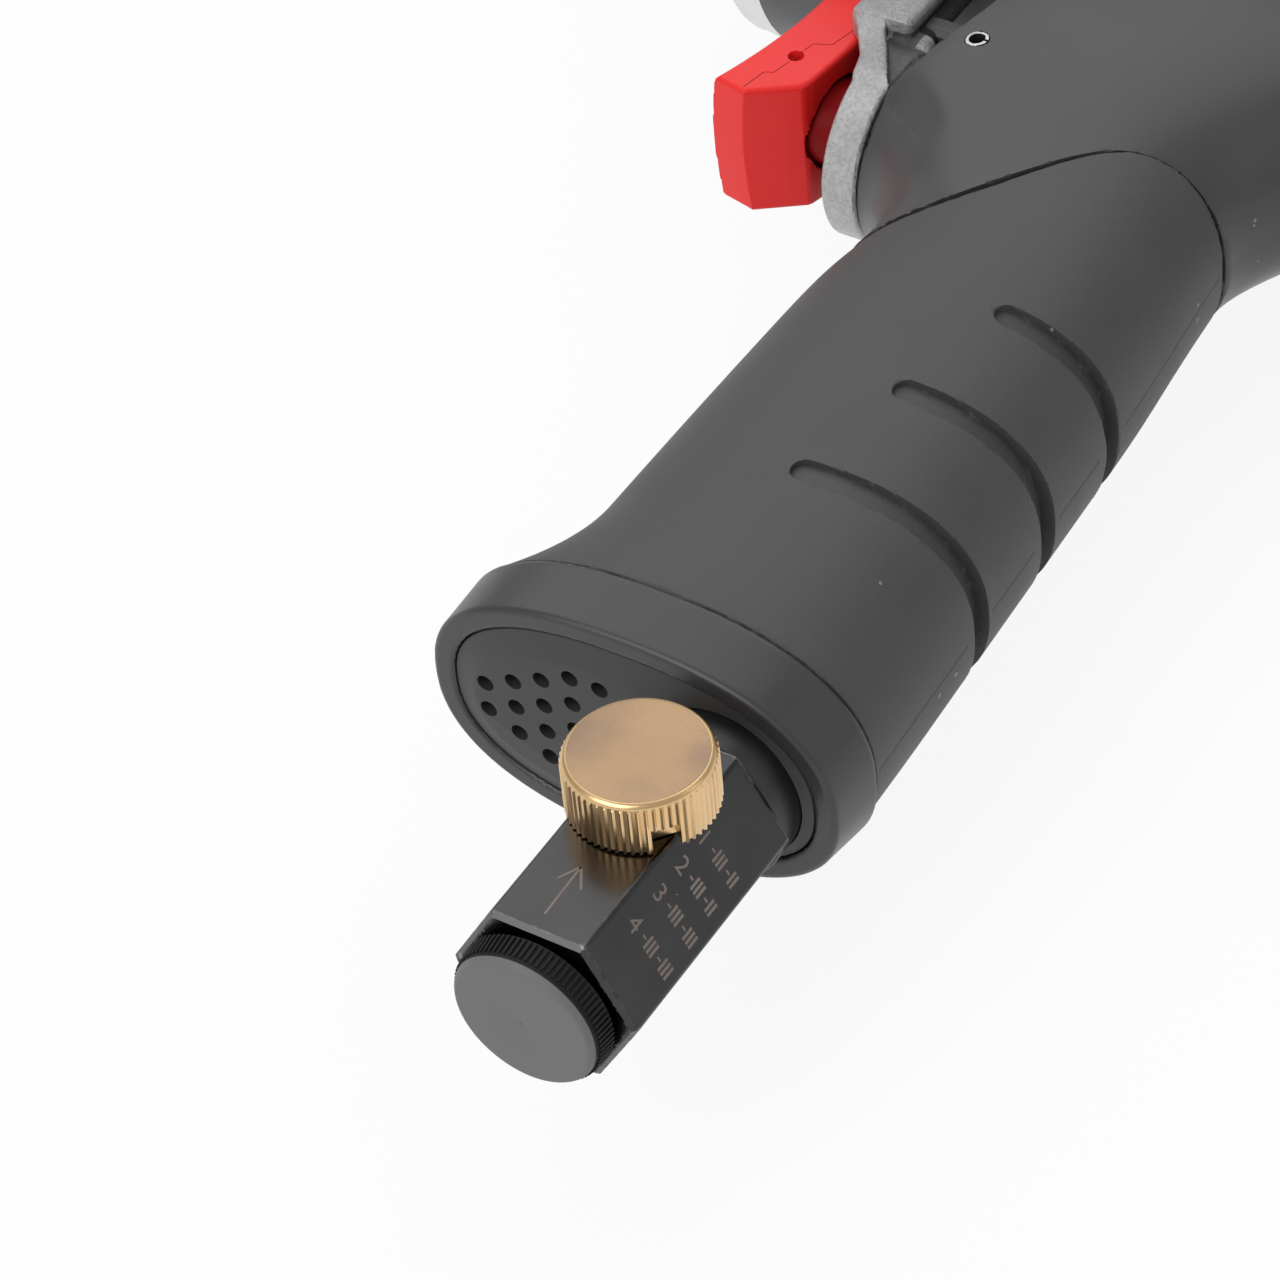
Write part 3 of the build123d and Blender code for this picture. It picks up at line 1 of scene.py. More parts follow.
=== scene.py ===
"""Looks of a pistol-grip air impact wrench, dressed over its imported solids.

Sizes are in millimetres in the part's own frame and become metres when a mesh is made.
The drive points along +X, the handle along +Y and the tool's left side along +Z.
"""
import logging
from dataclasses import dataclass
from enum import Enum
from functools import partial
from math import cos, pi, radians, sin, tau
from typing import Callable, Sequence

import bmesh
import bpy
import numpy as np
from mathutils import Matrix, Vector


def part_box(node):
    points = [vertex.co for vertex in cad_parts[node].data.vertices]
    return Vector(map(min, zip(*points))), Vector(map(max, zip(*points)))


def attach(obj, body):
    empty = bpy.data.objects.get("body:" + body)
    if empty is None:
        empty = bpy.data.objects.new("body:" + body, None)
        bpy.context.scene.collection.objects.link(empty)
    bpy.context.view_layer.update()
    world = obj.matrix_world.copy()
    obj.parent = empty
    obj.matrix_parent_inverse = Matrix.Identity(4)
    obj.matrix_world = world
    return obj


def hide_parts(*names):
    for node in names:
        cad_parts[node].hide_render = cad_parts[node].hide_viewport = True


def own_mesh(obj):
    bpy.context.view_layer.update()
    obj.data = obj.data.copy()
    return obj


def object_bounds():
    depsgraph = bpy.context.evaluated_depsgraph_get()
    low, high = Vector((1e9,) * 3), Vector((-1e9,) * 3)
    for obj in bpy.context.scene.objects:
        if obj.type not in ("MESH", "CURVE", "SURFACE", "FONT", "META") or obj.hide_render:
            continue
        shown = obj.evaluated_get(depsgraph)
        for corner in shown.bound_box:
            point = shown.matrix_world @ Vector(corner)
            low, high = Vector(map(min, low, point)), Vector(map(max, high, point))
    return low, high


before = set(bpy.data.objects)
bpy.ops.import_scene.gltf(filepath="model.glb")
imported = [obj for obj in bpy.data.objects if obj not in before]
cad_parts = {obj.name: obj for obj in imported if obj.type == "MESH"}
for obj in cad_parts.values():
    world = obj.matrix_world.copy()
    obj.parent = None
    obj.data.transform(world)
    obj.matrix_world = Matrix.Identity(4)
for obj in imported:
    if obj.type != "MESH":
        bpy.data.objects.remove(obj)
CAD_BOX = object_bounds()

LOG = logging.getLogger("wrench")
MM = 0.001
SHARP_ANGLE = radians(35.0)
Array = np.ndarray
Mesh = bpy.types.Mesh
Node = bpy.types.Node
Socket = bpy.types.NodeSocket
Source = Node | Socket
Sockets = bpy.types.bpy_prop_collection
Tree = bpy.types.NodeTree
Field = Callable[[Array], Array]
Colour = tuple[float, float, float]
Point = tuple[float, float, float]
Flat = tuple[float, float]
X, Y, Z = 0, 1, 2

# Places and sizes that several groups share
DRIVE_AXIS = (0.0, 0.0)
STEM_Y = 61.0
INLET_X = -104.0
KNOB_Y = 192.2
BUSHING_RADIUS = 9.4
COLLAR_RADIUS = 11.6
HEX_TURNS = (radians(30.0), radians(90.0), radians(150.0))


class Body(Enum):
    """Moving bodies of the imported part."""

    TOOL = "tool"
    DRIVE = "drive"
    TRIGGER = "trigger"
    REVERSE = "reverse"
    REGULATOR = "regulator"
    PLUG = "plug"


class Surface(Enum):
    """Kinds of surface relief."""

    MOULDED = "moulded"
    LEATHER = "leather"
    CAST = "cast"
    BRUSHED = "brushed"
    TURNED = "turned"
    RADIAL = "radial"
    FIBRE = "fibre"


# Distances to solid forms


def round_off(first: Array, second: Array, radius: float) -> Array:
    """Inside of both forms, with their shared outer edge rounded.

    Args:
        first: Signed distances to the first form.
        second: Signed distances to the second form.
        radius: Radius of the rounded edge.

    Returns:
        Signed distances to what both forms hold.
    """
    a = first + radius
    b = second + radius
    beyond = np.hypot(np.maximum(a, 0.0), np.maximum(b, 0.0))
    return np.minimum(np.maximum(a, b), 0.0) + beyond - radius


def fillet(first: Array, second: Array, radius: float) -> Array:
    """Union of two forms with a hollow fillet in the corner between them."""
    return -round_off(-first, -second, radius)


def cut(body: Array, tool: Array, radius: float = 0.0) -> Array:
    """What is left of a body after a tool is taken away, with the mouth rounded."""
    return round_off(body, -tool, radius)


def rod(points: Array, axis: int, centre: Flat, radius: float, low: float, high: float) -> Array:
    """Distance to a round bar along one axis.

    Args:
        points: Places, one in each row.
        axis: Axis of the bar.
        centre: Place of the axis in the two other directions, in their order.
        radius: Radius of the bar.
        low: Lower end of the bar.
        high: Upper end of the bar.

    Returns:
        Signed distances.
    """
    across = [index for index in range(3) if index != axis]
    reach = np.hypot(points[:, across[0]] - centre[0], points[:, across[1]] - centre[1]) - radius
    along = np.abs(points[:, axis] - (low + high) / 2) - (high - low) / 2
    return np.maximum(reach, along)


@dataclass(frozen=True)
class Bore:
    """One round hole: its axis, its centre line, its radius, its ends and the rounding of its mouth."""

    axis: int
    centre: Flat
    radius: float
    low: float
    high: float
    mouth: float = 0.0


def drilled(body: Array, points: Array, bores: Sequence[Bore]) -> Array:
    """What is left of a body after its holes are taken away in order.

    Args:
        body: Signed distances to the body.
        points: Places, one in each row.
        bores: The holes.

    Returns:
        Signed distances.
    """
    for bore in bores:
        body = cut(body, rod(points, bore.axis, bore.centre, bore.radius, bore.low, bore.high), bore.mouth)
    return body


def block(points: Array, low: Point, high: Point) -> Array:
    """Distance to a block between two corners.

    Args:
        points: Places, one in each row.
        low: Lowest corner of the block.
        high: Highest corner of the block.

    Returns:
        Signed distances.
    """
    middle = (np.array(low) + np.array(high)) / 2
    half = (np.array(high) - np.array(low)) / 2
    return (np.abs(points - middle) - half).max(axis=1)


def outline(along: Array, across: Array, corners: Sequence[Flat]) -> Array:
    """Distance in a plane to a closed outline.

    Args:
        along: First coordinate of each place.
        across: Second coordinate of each place.
        corners: Corners of the outline in order.

    Returns:
        Signed distances, negative inside.
    """
    best = np.full(along.shape, np.inf)
    inside = np.zeros(along.shape, bool)
    for (ax, ay), (bx, by) in zip(corners, [*corners[1:], corners[0]]):
        ex, ey = bx - ax, by - ay
        px, py = along - ax, across - ay
        share = np.clip((px * ex + py * ey) / (ex * ex + ey * ey), 0.0, 1.0)
        best = np.minimum(best, (px - ex * share) ** 2 + (py - ey * share) ** 2)
        if ey:
            inside ^= ((ay > across) != (by > across)) & (px < py * ex / ey)
    return np.where(inside, -1.0, 1.0) * np.sqrt(best)


def turned(points: Array, corners: Sequence[Flat]) -> Array:
    """Distance to a form turned about the drive axis from (x, radius) corners.

    Args:
        points: Places, one in each row.
        corners: Corners of the half section in order.

    Returns:
        Signed distances.
    """
    reach = np.hypot(points[:, Y], points[:, Z])
    mirrored = [*corners, *[(x, -radius) for x, radius in reversed(corners)]]
    return outline(points[:, X], reach, mirrored)


def oval(points: Array, edges: Sequence, power: float, front_power: Array | None = None) -> Array:
    """Distance across the handle to a rounded oval.

    Args:
        points: Places, one in each row.
        edges: Back edge, front edge and half width at each place.
        power: Fullness of the oval, 2 for an ellipse.
        front_power: Fullness of its front half at each place, where that differs.

    Returns:
        Signed distances, measured from the oval's middle.
    """
    back, front, half_width = edges
    middle = (back + front) / 2
    along = np.abs(points[:, X] - middle)
    across = np.abs(points[:, Z])
    if front_power is not None:
        power = np.where(points[:, X] > middle, front_power, power)
    size = ((2 * along / (front - back)) ** power + (across / half_width) ** power) ** (1 / power)
    reach = np.hypot(along, across)
    radius = np.where(size > 1e-3, reach / np.maximum(size, 1e-3), half_width)
    return (size - 1) * radius


def swell(y: Array, end: float, span: float) -> Array:
    """Share from 0 at end to 1 well above it, rising smoothly over span."""
    return 1 - np.exp(-((np.maximum(end - y, 0.0) / span) ** 2))


EASE_REACH = 30.0


def ease(distance: Array, width: float) -> Array:
    """Share that falls smoothly from 1 to 0 as a distance passes zero."""
    return 1 / (1 + np.exp(np.clip(distance, -EASE_REACH, EASE_REACH) / width))


def within(values: Array, low: float, high: float) -> Array:
    """Which values lie between two limits."""
    return (values > low) & (values < high)


def bolt_places(count: int, radius: float) -> list[Flat]:
    """Places on a circle about the drive axis, between the tool's main planes."""
    turns = [tau * (index + 0.5) / count for index in range(count)]
    return [(radius * cos(turn), radius * sin(turn)) for turn in turns]


# Meshes


TETRAHEDRON = ((1, 1, 1), (1, -1, -1), (-1, 1, -1), (-1, -1, 1))
RING_OF_CELLS = ((0, 0), (-1, 0), (-1, -1), (0, -1))
FACING_REACH = 0.02
GRID_MARGIN = 1.37
SPARE_LINES = 3
FLAT_SHARE = 0.1
CREASE_SHARE = 0.94


def facing(shape: Field, points: Array) -> Array:
    """Directions in which a form's distance grows, one unit row for each place.

    Args:
        shape: Distance function of the form.
        points: Places, one in each row.

    Returns:
        The directions.
    """
    total = np.zeros(points.shape)
    for corner in TETRAHEDRON:
        way = np.array(corner, float)
        total += way * shape(points + FACING_REACH * way)[:, None]
    return total / np.maximum(np.linalg.norm(total, axis=1, keepdims=True), 1e-12)


def crossings(shape: Field, values: Array, low: Array, step: float, axis: int) -> tuple:
    """Places where a form's surface crosses the grid lines of one axis.

    Args:
        shape: Distance function of the form.
        values: Distances at the grid's nodes.
        low: Lowest corner of the grid.
        step: Grid spacing.
        axis: Axis of the grid lines.

    Returns:
        The places, and for each the four cells round its line in outward order.
    """
    cells = np.array(values.shape) - 1
    head = tuple(slice(0, -1) if index == axis else slice(None) for index in range(3))
    tail = tuple(slice(1, None) if index == axis else slice(None) for index in range(3))
    before, after = values[head], values[tail]
    starts = np.argwhere((before < 0) != (after < 0))
    u, v = (axis + 1) % 3, (axis + 2) % 3
    kept = (starts[:, u] > 0) & (starts[:, v] > 0) & (starts[:, u] < cells[u]) & (starts[:, v] < cells[v])
    starts = starts[kept]
    first, second = before[tuple(starts.T)], after[tuple(starts.T)]
    places = low + step * starts
    base = places[:, axis].copy()
    places[:, axis] += step * first / (first - second)
    places[:, axis] -= shape(places) * step / (second - first)
    places[:, axis] = np.clip(places[:, axis], base, base + step)
    rings = []
    for along_u, along_v in RING_OF_CELLS:
        cell = starts.copy()
        cell[:, u] += along_u
        cell[:, v] += along_v
        rings.append(np.ravel_multi_index(tuple(cell.T), cells))
    ring = np.stack(rings, 1)
    ring[first > 0] = ring[first > 0][:, ::-1]
    return places, ring


def contour(name: str, shape: Field, low: Point, high: Point, step: float) -> Mesh:
    """Mesh of a form's surface, one vertex for each crossed cell, with crisp edges kept.

    Args:
        name: Name of the mesh.
        shape: Distance function of the form.
        low: Lowest corner of the box that holds the form.
        high: Highest corner of that box.
        step: Grid spacing.

    Returns:
        A closed mesh in metres.
    """
    start = np.array(low, float) - GRID_MARGIN * step
    counts = np.ceil((np.array(high) - start) / step).astype(int) + SPARE_LINES
    lines = [start[index] + step * np.arange(counts[index]) for index in range(3)]
    values = np.empty(counts)
    for index, x in enumerate(lines[X]):
        slab = np.stack(np.meshgrid([x], lines[Y], lines[Z], indexing="ij"), -1).reshape(-1, 3)
        values[index] = shape(slab).reshape(counts[1:])
    found = [crossings(shape, values, start, step, axis) for axis in range(3)]
    places = np.concatenate([places for places, _ in found])
    normals = np.repeat(facing(shape, places), 4, axis=0)
    places = np.repeat(places, 4, axis=0)
    cells, owner = np.unique(np.concatenate([ring for _, ring in found]).ravel(), return_inverse=True)
    count = np.bincount(owner)

    def total(values_of: Array) -> Array:
        """Sum of each column over the crossings of each cell."""
        return np.stack([np.bincount(owner, column) for column in values_of.T], 1)

    mean = total(places) / count[:, None]
    offset = ((places - mean[owner]) * normals).sum(1)
    pull = total(normals * offset[:, None])
    spread = total((normals[:, :, None] * normals[:, None, :]).reshape(-1, 9)).reshape(-1, 3, 3)
    size, turn = np.linalg.eigh(spread)
    inverse = np.where(size > FLAT_SHARE * size[:, -1:], 1 / np.maximum(size, 1e-9), 0.0)
    move = np.einsum("nij,nj,nkj,nk->ni", turn, inverse, turn, pull)
    corner = start + step * np.stack(np.unravel_index(cells, counts - 1), 1)
    vertices = np.clip(mean + move, corner, corner + step)
    normal = facing(shape, vertices)
    normal[np.linalg.norm(total(normals), axis=1) / count < CREASE_SHARE] = 0.0
    return plain_mesh(name, vertices, owner.reshape(-1, 4), normal)


def plain_mesh(
    name: str, vertices: Array, faces: Sequence, normals: Array | None = None
) -> Mesh:
    """Smooth mesh in metres with its sharp edges marked.

    Args:
        name: Name of the mesh.
        vertices: Corners in millimetres.
        faces: Corner numbers of each face.
        normals: Directions at the corners, or zero rows for those on an edge.

    Returns:
        The mesh.
    """
    mesh = bpy.data.meshes.new(name)
    corners = np.asarray(vertices, float) * MM
    listed = faces.tolist() if isinstance(faces, Array) else list(faces)
    mesh.from_pydata(corners.tolist(), [], listed)
    finish_shading(mesh)
    if normals is not None:
        mesh.normals_split_custom_set(normals[np.asarray(listed).ravel()].tolist())
    return mesh


def finish_shading(mesh: Mesh) -> None:
    """Shades a mesh smooth up to its sharp edges.

    Args:
        mesh: The mesh.
    """
    mesh.update()
    mesh.shade_smooth()
    mesh.set_sharp_from_angle(angle=SHARP_ANGLE)


def rounded(corners: Sequence[Flat], radius: float, steps: int = 4) -> list[Flat]:
    """Closed profile with each corner rounded.

    Args:
        corners: Corners in order.
        radius: Distance from each corner at which the rounding starts.
        steps: Points on each rounding.

    Returns:
        The points of the rounded profile.
    """
    points = []
    for before, corner, after in zip([corners[-1], *corners], corners, [*corners[1:], corners[0]]):
        here = Vector(corner)
        to_before = Vector(before) - here
        to_after = Vector(after) - here
        start = here + to_before.normalized() * min(radius, to_before.length * 0.45)
        end = here + to_after.normalized() * min(radius, to_after.length * 0.45)
        for index in range(steps):
            share = index / (steps - 1)
            point = start * (1 - share) ** 2 + here * 2 * share * (1 - share) + end * share**2
            points.append((point.x, point.y))
    return points


def lathe(name: str, profile: Sequence[Flat], turn: Matrix, segments: int = 128) -> Mesh:
    """Closed turned mesh.

    Args:
        name: Name of the mesh.
        profile: Closed (height, radius) profile in order.
        turn: Takes the height axis, which is Z, to its place in millimetres.
        segments: Divisions round the axis.

    Returns:
        The mesh, with its axis points merged.
    """
    form = bmesh.new()
    rings = []
    for index in range(segments):
        angle = tau * index / segments
        way = Vector((cos(angle), sin(angle), 0.0))
        places = [turn @ (way * radius + Vector((0, 0, height))) for height, radius in profile]
        rings.append([form.verts.new(place) for place in places])
    size = len(profile)
    for index in range(segments):
        here, following = rings[index], rings[(index + 1) % segments]
        for place in range(size):
            after = (place + 1) % size
            form.faces.new((here[place], following[place], following[after], here[after]))
    bmesh.ops.remove_doubles(form, verts=form.verts, dist=1e-4)
    bmesh.ops.dissolve_degenerate(form, edges=form.edges, dist=1e-5)
    mesh = closed_mesh(name, form)
    finish_shading(mesh)
    return mesh


def stroke(form: bmesh.types.BMesh, start: Vector, end: Vector, outward: Vector, size: Flat) -> None:
    """Adds one straight stroke as a thin flat bar.

    Args:
        form: Mesh that gets the stroke.
        start: First end of the stroke.
        end: Other end of the stroke.
        outward: Direction off the surface.
        size: Width of the stroke and its height above the surface.
    """
    along = (end - start).normalized()
    side = along.cross(outward).normalized() * size[0] / 2
    rise = outward * size[1]
    base = [start - side, start + side, end + side, end - side]
    lower = [form.verts.new(point - rise) for point in base]
    upper = [form.verts.new(point + rise) for point in base]
    form.faces.new(upper)
    form.faces.new(lower[::-1])
    for index in range(4):
        after = (index + 1) % 4
        form.faces.new((lower[index], lower[after], upper[after], upper[index]))


def closed_mesh(name: str, form: bmesh.types.BMesh) -> Mesh:
    """Mesh in metres of a closed form, with its faces turned outward.

    Args:
        name: Name of the mesh.
        form: The form in millimetres.

    Returns:
        The mesh in metres.
    """
    bmesh.ops.recalc_face_normals(form, faces=form.faces)
    form.transform(Matrix.Scale(MM, 4))
    mesh = bpy.data.meshes.new(name)
    form.to_mesh(mesh)
    form.free()
    return mesh


def softened_copy(node: str, edge: float) -> Mesh:
    """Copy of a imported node's mesh, merged, with its sharp edges bevelled.

    Args:
        node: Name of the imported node.
        edge: Width of the bevel in millimetres.

    Returns:
        The new mesh.
    """
    form = bmesh.new()
    form.from_mesh(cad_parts[node].data)
    bmesh.ops.remove_doubles(form, verts=form.verts, dist=1e-6)
    bmesh.ops.dissolve_limit(form, angle_limit=radians(1.0), verts=form.verts, edges=form.edges)
    sharp = [item for item in form.edges if item.is_manifold and item.calc_face_angle(0.0) > SHARP_ANGLE]
    rounding = {"segments": 2, "profile": 0.5, "affect": "EDGES", "clamp_overlap": True}
    bmesh.ops.bevel(form, geom=sharp, offset=edge * MM, **rounding)
    mesh = bpy.data.meshes.new(node + "_soft")
    form.to_mesh(mesh)
    form.free()
    finish_shading(mesh)
    return mesh


# Node trees


def added(name: str, data: bpy.types.ID) -> bpy.types.Object:
    """New object in the scene.

    Args:
        name: Name of the object.
        data: What the object shows.

    Returns:
        The object.
    """
    item = bpy.data.objects.new(name, data)
    bpy.context.scene.collection.objects.link(item)
    return item


class Graph:
    """Adds and links nodes in one tree."""

    def __init__(self, tree: Tree) -> None:
        """Keeps the tree."""
        self.tree = tree

    def add(self, kind: str, inputs: dict | None = None, **settings: object) -> Node:
        """Adds a node.

        Args:
            kind: Blender's name for the node's type.
            inputs: Values, sockets or nodes for its inputs, by name or number.
            settings: Values for the node's own properties.

        Returns:
            The node.
        """
        node = self.tree.nodes.new(kind)
        for name, value in settings.items():
            setattr(node, name, value)
        for key, value in (inputs or {}).items():
            if isinstance(value, (Node, Socket)):
                self.link(value, node.inputs[key])
            else:
                node.inputs[key].default_value = value
        return node

    def link(self, source: Source, target: Socket) -> None:
        """Links a socket, or a node's first output, to an input."""
        self.tree.links.new(source.outputs[0] if isinstance(source, Node) else source, target)

    def vector(self, x: object = 0.0, y: object = 0.0, z: object = 0.0) -> Node:
        """Vector made of three values or sockets."""
        return self.add("ShaderNodeCombineXYZ", {"X": x, "Y": y, "Z": z})

    def nudged(self, vector: Source, way: Source, reach: float) -> Node:
        """Vector with a small share of another one added."""
        shift = self.add("ShaderNodeVectorMath", {0: way, "Scale": reach}, operation="SCALE")
        return self.add("ShaderNodeVectorMath", {0: vector, 1: shift}, operation="ADD")

    def moved(self, shape: Source, **ways: object) -> Node:
        """Shape after its Translation, its Rotation or both."""
        return self.add("GeometryNodeTransform", {"Geometry": shape, **ways})

    def circle(self, count: object, radius: object) -> Node:
        """Points on a circle about Z."""
        return self.add("GeometryNodeMeshCircle", {"Vertices": count, "Radius": radius})

    def copies(self, points: Source, shape: Source, turn: object = (0.0, 0.0, 0.0)) -> Node:
        """Copies of a shape on points, each with its own turn."""
        placed = {"Points": points, "Instance": shape, "Rotation": turn}
        return self.add("GeometryNodeInstanceOnPoints", placed)

    def noise(self, vector: Source, scale: object, detail: float) -> Node:
        """Noise on the places that a vector gives."""
        return self.add("ShaderNodeTexNoise", {"Vector": vector, "Scale": scale, "Detail": detail})

    def math(self, operation: str, first: object, second: object = 0.0) -> Socket:
        """Result of one sum on two values or sockets."""
        return self.add("ShaderNodeMath", {0: first, 1: second}, operation=operation).outputs[0]

    def blend(self, share: object, first: object, second: object) -> Socket:
        """Colour between two colours or sockets."""
        colours = {0: share, 6: first, 7: second}
        return self.add("ShaderNodeMix", colours, data_type="RGBA", clamp_factor=True).outputs[2]

    def ramp(self, value: object, low: object, high: object, smooth: bool = True) -> Socket:
        """Share from 0 to 1 as a value goes from low to high.

        Args:
            value: Value or socket.
            low: Value at which the share is 0.
            high: Value at which the share is 1.
            smooth: Whether the share eases in and out.

        Returns:
            The share.
        """
        kind = "SMOOTHSTEP" if smooth else "LINEAR"
        given = {"Value": value, "From Min": low, "From Max": high}
        return self.add("ShaderNodeMapRange", given, interpolation_type=kind).outputs[0]


def new_group(name: str, kind: str, inputs: dict[str, tuple], outputs: dict[str, str]) -> tuple:
    """Empty node group with named sockets.

    Args:
        name: Name of the group.
        kind: Blender's name for the tree's type.
        inputs: Socket type and default value of each input.
        outputs: Socket type of each output.

    Returns:
        The graph, the input node's outputs and the output node's inputs.
    """
    tree = bpy.data.node_groups.new(name, kind)
    for title, (socket_type, value) in inputs.items():
        socket = tree.interface.new_socket(title, in_out="INPUT", socket_type=socket_type)
        if value is not None:
            socket.default_value = value
    for title, socket_type in outputs.items():
        tree.interface.new_socket(title, in_out="OUTPUT", socket_type=socket_type)
    graph = Graph(tree)
    return graph, graph.add("NodeGroupInput").outputs, graph.add("NodeGroupOutput").inputs


def new_material(name: str) -> tuple[bpy.types.Material, Graph]:
    """Empty material and the graph of its nodes.

    Args:
        name: Name of the material.

    Returns:
        The material and its graph.
    """
    material = bpy.data.materials.new(name)
    material.use_nodes = True
    material.node_tree.nodes.clear()
    return material, Graph(material.node_tree)


FLOAT, VECTOR = "NodeSocketFloat", "NodeSocketVector"
GEOMETRY, MATERIAL, WHOLE = "NodeSocketGeometry", "NodeSocketMaterial", "NodeSocketInt"
SHADER_TREE, GEOMETRY_TREE = "ShaderNodeTree", "GeometryNodeTree"
SOCKET_OF = {float: FLOAT, int: WHOLE, tuple: VECTOR}
Drawing = Callable[[Graph, Sockets], Source]


class Effects:
    """Shader effects that several finishes share, each built once."""

    def __init__(self) -> None:
        """Builds every group."""
        self.patches = self._group("tone_patches", {"Scale": 60.0}, "Share", self._patches)
        self.specks = self._group("dust_specks", {"Scale": 260.0, "Density": 0.3}, "Mask", self._specks)
        self.edges = self._group("edge_wear", {"From": 0.53, "To": 0.6}, "Mask", self._edges)
        reliefs = {
            Surface.MOULDED: self._moulded,
            Surface.LEATHER: self._leather,
            Surface.CAST: self._cast,
            Surface.BRUSHED: partial(self._streaks, (1.0, 0.03, 1.0)),
            Surface.TURNED: self._rings,
            Surface.RADIAL: self._spokes,
            Surface.FIBRE: partial(self._streaks, (1.0, 0.4, 0.7)),
        }
        self.relief = {
            surface: self._group(surface.value + "_relief", {"Scale": 1000.0}, "Height", draw)
            for surface, draw in reliefs.items()
        }

    @staticmethod
    def _group(name: str, values: dict[str, float], output: str, draw: Drawing) -> Tree:
        """Builds one group.

        Args:
            name: Name of the group.
            values: Its inputs beside the vector, with their defaults.
            output: Name of its output.
            draw: Adds the group's nodes and gives back its result.

        Returns:
            The group's tree.
        """
        inputs = {"Vector": (VECTOR, None)} | {title: (FLOAT, value) for title, value in values.items()}
        graph, given, result = new_group(name, SHADER_TREE, inputs, {output: FLOAT})
        graph.link(draw(graph, given), result[output])
        return graph.tree

    @staticmethod
    def _patches(graph: Graph, given: Sockets) -> Source:
        """Slow drift of tone over a surface."""
        return graph.ramp(graph.noise(given["Vector"], given["Scale"], 5.0), 0.3, 0.7)

    @staticmethod
    def _specks(graph: Graph, given: Sockets) -> Source:
        """Scattered dust specks of uneven size.

        Args:
            graph: Graph of the tree.
            given: The tree's inputs.

        Returns:
            The group's result.
        """
        bend = graph.noise(given["Vector"], 900.0, 1.0)
        place = graph.nudged(given["Vector"], bend.outputs[1], 0.0006)
        cells = graph.add("ShaderNodeTexVoronoi", {"Vector": place, "Scale": given["Scale"]})
        parts = graph.add("ShaderNodeSeparateColor", {0: cells.outputs["Color"]})
        size = graph.math("MULTIPLY", graph.math("POWER", parts.outputs[0], 3.0), 0.1)
        near = graph.math("LESS_THAN", cells.outputs["Distance"], graph.math("ADD", size, 0.012))
        chosen = graph.math("LESS_THAN", parts.outputs[1], given["Density"])
        return graph.math("MULTIPLY", near, chosen)

    @staticmethod
    def _edges(graph: Graph, given: Sockets) -> Source:
        """Worn outer edges, broken up by noise.

        Args:
            graph: Graph of the tree.
            given: The tree's inputs.

        Returns:
            The group's result.
        """
        bend = graph.add("ShaderNodeNewGeometry").outputs["Pointiness"]
        noise = graph.noise(given["Vector"], 700.0, 4.0)
        uneven = graph.math("MULTIPLY", graph.math("SUBTRACT", noise, 0.5), 0.08)
        return graph.ramp(graph.math("ADD", bend, uneven), given["From"], given["To"], smooth=False)

    @staticmethod
    def _moulded(graph: Graph, given: Sockets) -> Source:
        """Fine even texture of a moulded face."""
        return graph.noise(given["Vector"], given["Scale"], 3.0)

    @staticmethod
    def _leather(graph: Graph, given: Sockets) -> Source:
        """Fine pebbled leather texture.

        Args:
            graph: Graph of the tree.
            given: The tree's inputs.

        Returns:
            The group's result.
        """
        noise = graph.noise(given["Vector"], given["Scale"], 2.0)
        place = graph.nudged(given["Vector"], noise.outputs[1], 0.0004)
        given_cells = {"Vector": place, "Scale": given["Scale"], "Smoothness": 0.4}
        cells = graph.add("ShaderNodeTexVoronoi", given_cells, feature="SMOOTH_F1")
        pebble = graph.math("SUBTRACT", 1.0, cells.outputs["Distance"])
        return graph.math("ADD", pebble, graph.math("MULTIPLY", noise, 0.5))

    @staticmethod
    def _cast(graph: Graph, given: Sockets) -> Source:
        """Granular skin of a blasted casting.

        Args:
            graph: Graph of the tree.
            given: The tree's inputs.

        Returns:
            The group's result.
        """
        given_grain = {"Vector": given["Vector"], "Scale": given["Scale"]}
        coarse = graph.add("ShaderNodeTexNoise", {**given_grain, "Detail": 6.0, "Roughness": 0.7})
        pits = graph.add("ShaderNodeTexVoronoi", given_grain)
        pit = graph.ramp(pits.outputs["Distance"], 0.0, 0.35)
        return graph.math("ADD", graph.math("MULTIPLY", coarse, 0.8), graph.math("MULTIPLY", pit, 0.12))

    @staticmethod
    def _streaks(stretch: Point, graph: Graph, given: Sockets) -> Source:
        """Streaks or fibres drawn out along one axis."""
        drawn = graph.add("ShaderNodeVectorMath", {0: given["Vector"], 1: stretch}, operation="MULTIPLY")
        return graph.noise(drawn, given["Scale"], 4.0)

    @staticmethod
    def _rings(graph: Graph, given: Sockets) -> Source:
        """Fine turning lines round the local Z axis, on faces and sides alike.

        Args:
            graph: Graph of the tree.
            given: The tree's inputs.

        Returns:
            The group's result.
        """
        parts = graph.add("ShaderNodeSeparateXYZ", {0: given["Vector"]})
        first, second = [graph.math("POWER", parts.outputs[axis], 2.0) for axis in (X, Y)]
        reach = graph.math("SQRT", graph.math("ADD", first, second))
        along = graph.math("MULTIPLY", graph.math("ADD", reach, parts.outputs[Z]), given["Scale"])
        given_lines = {"W": along, "Scale": 1.0, "Detail": 3.0}
        return graph.add("ShaderNodeTexNoise", given_lines, noise_dimensions="1D")

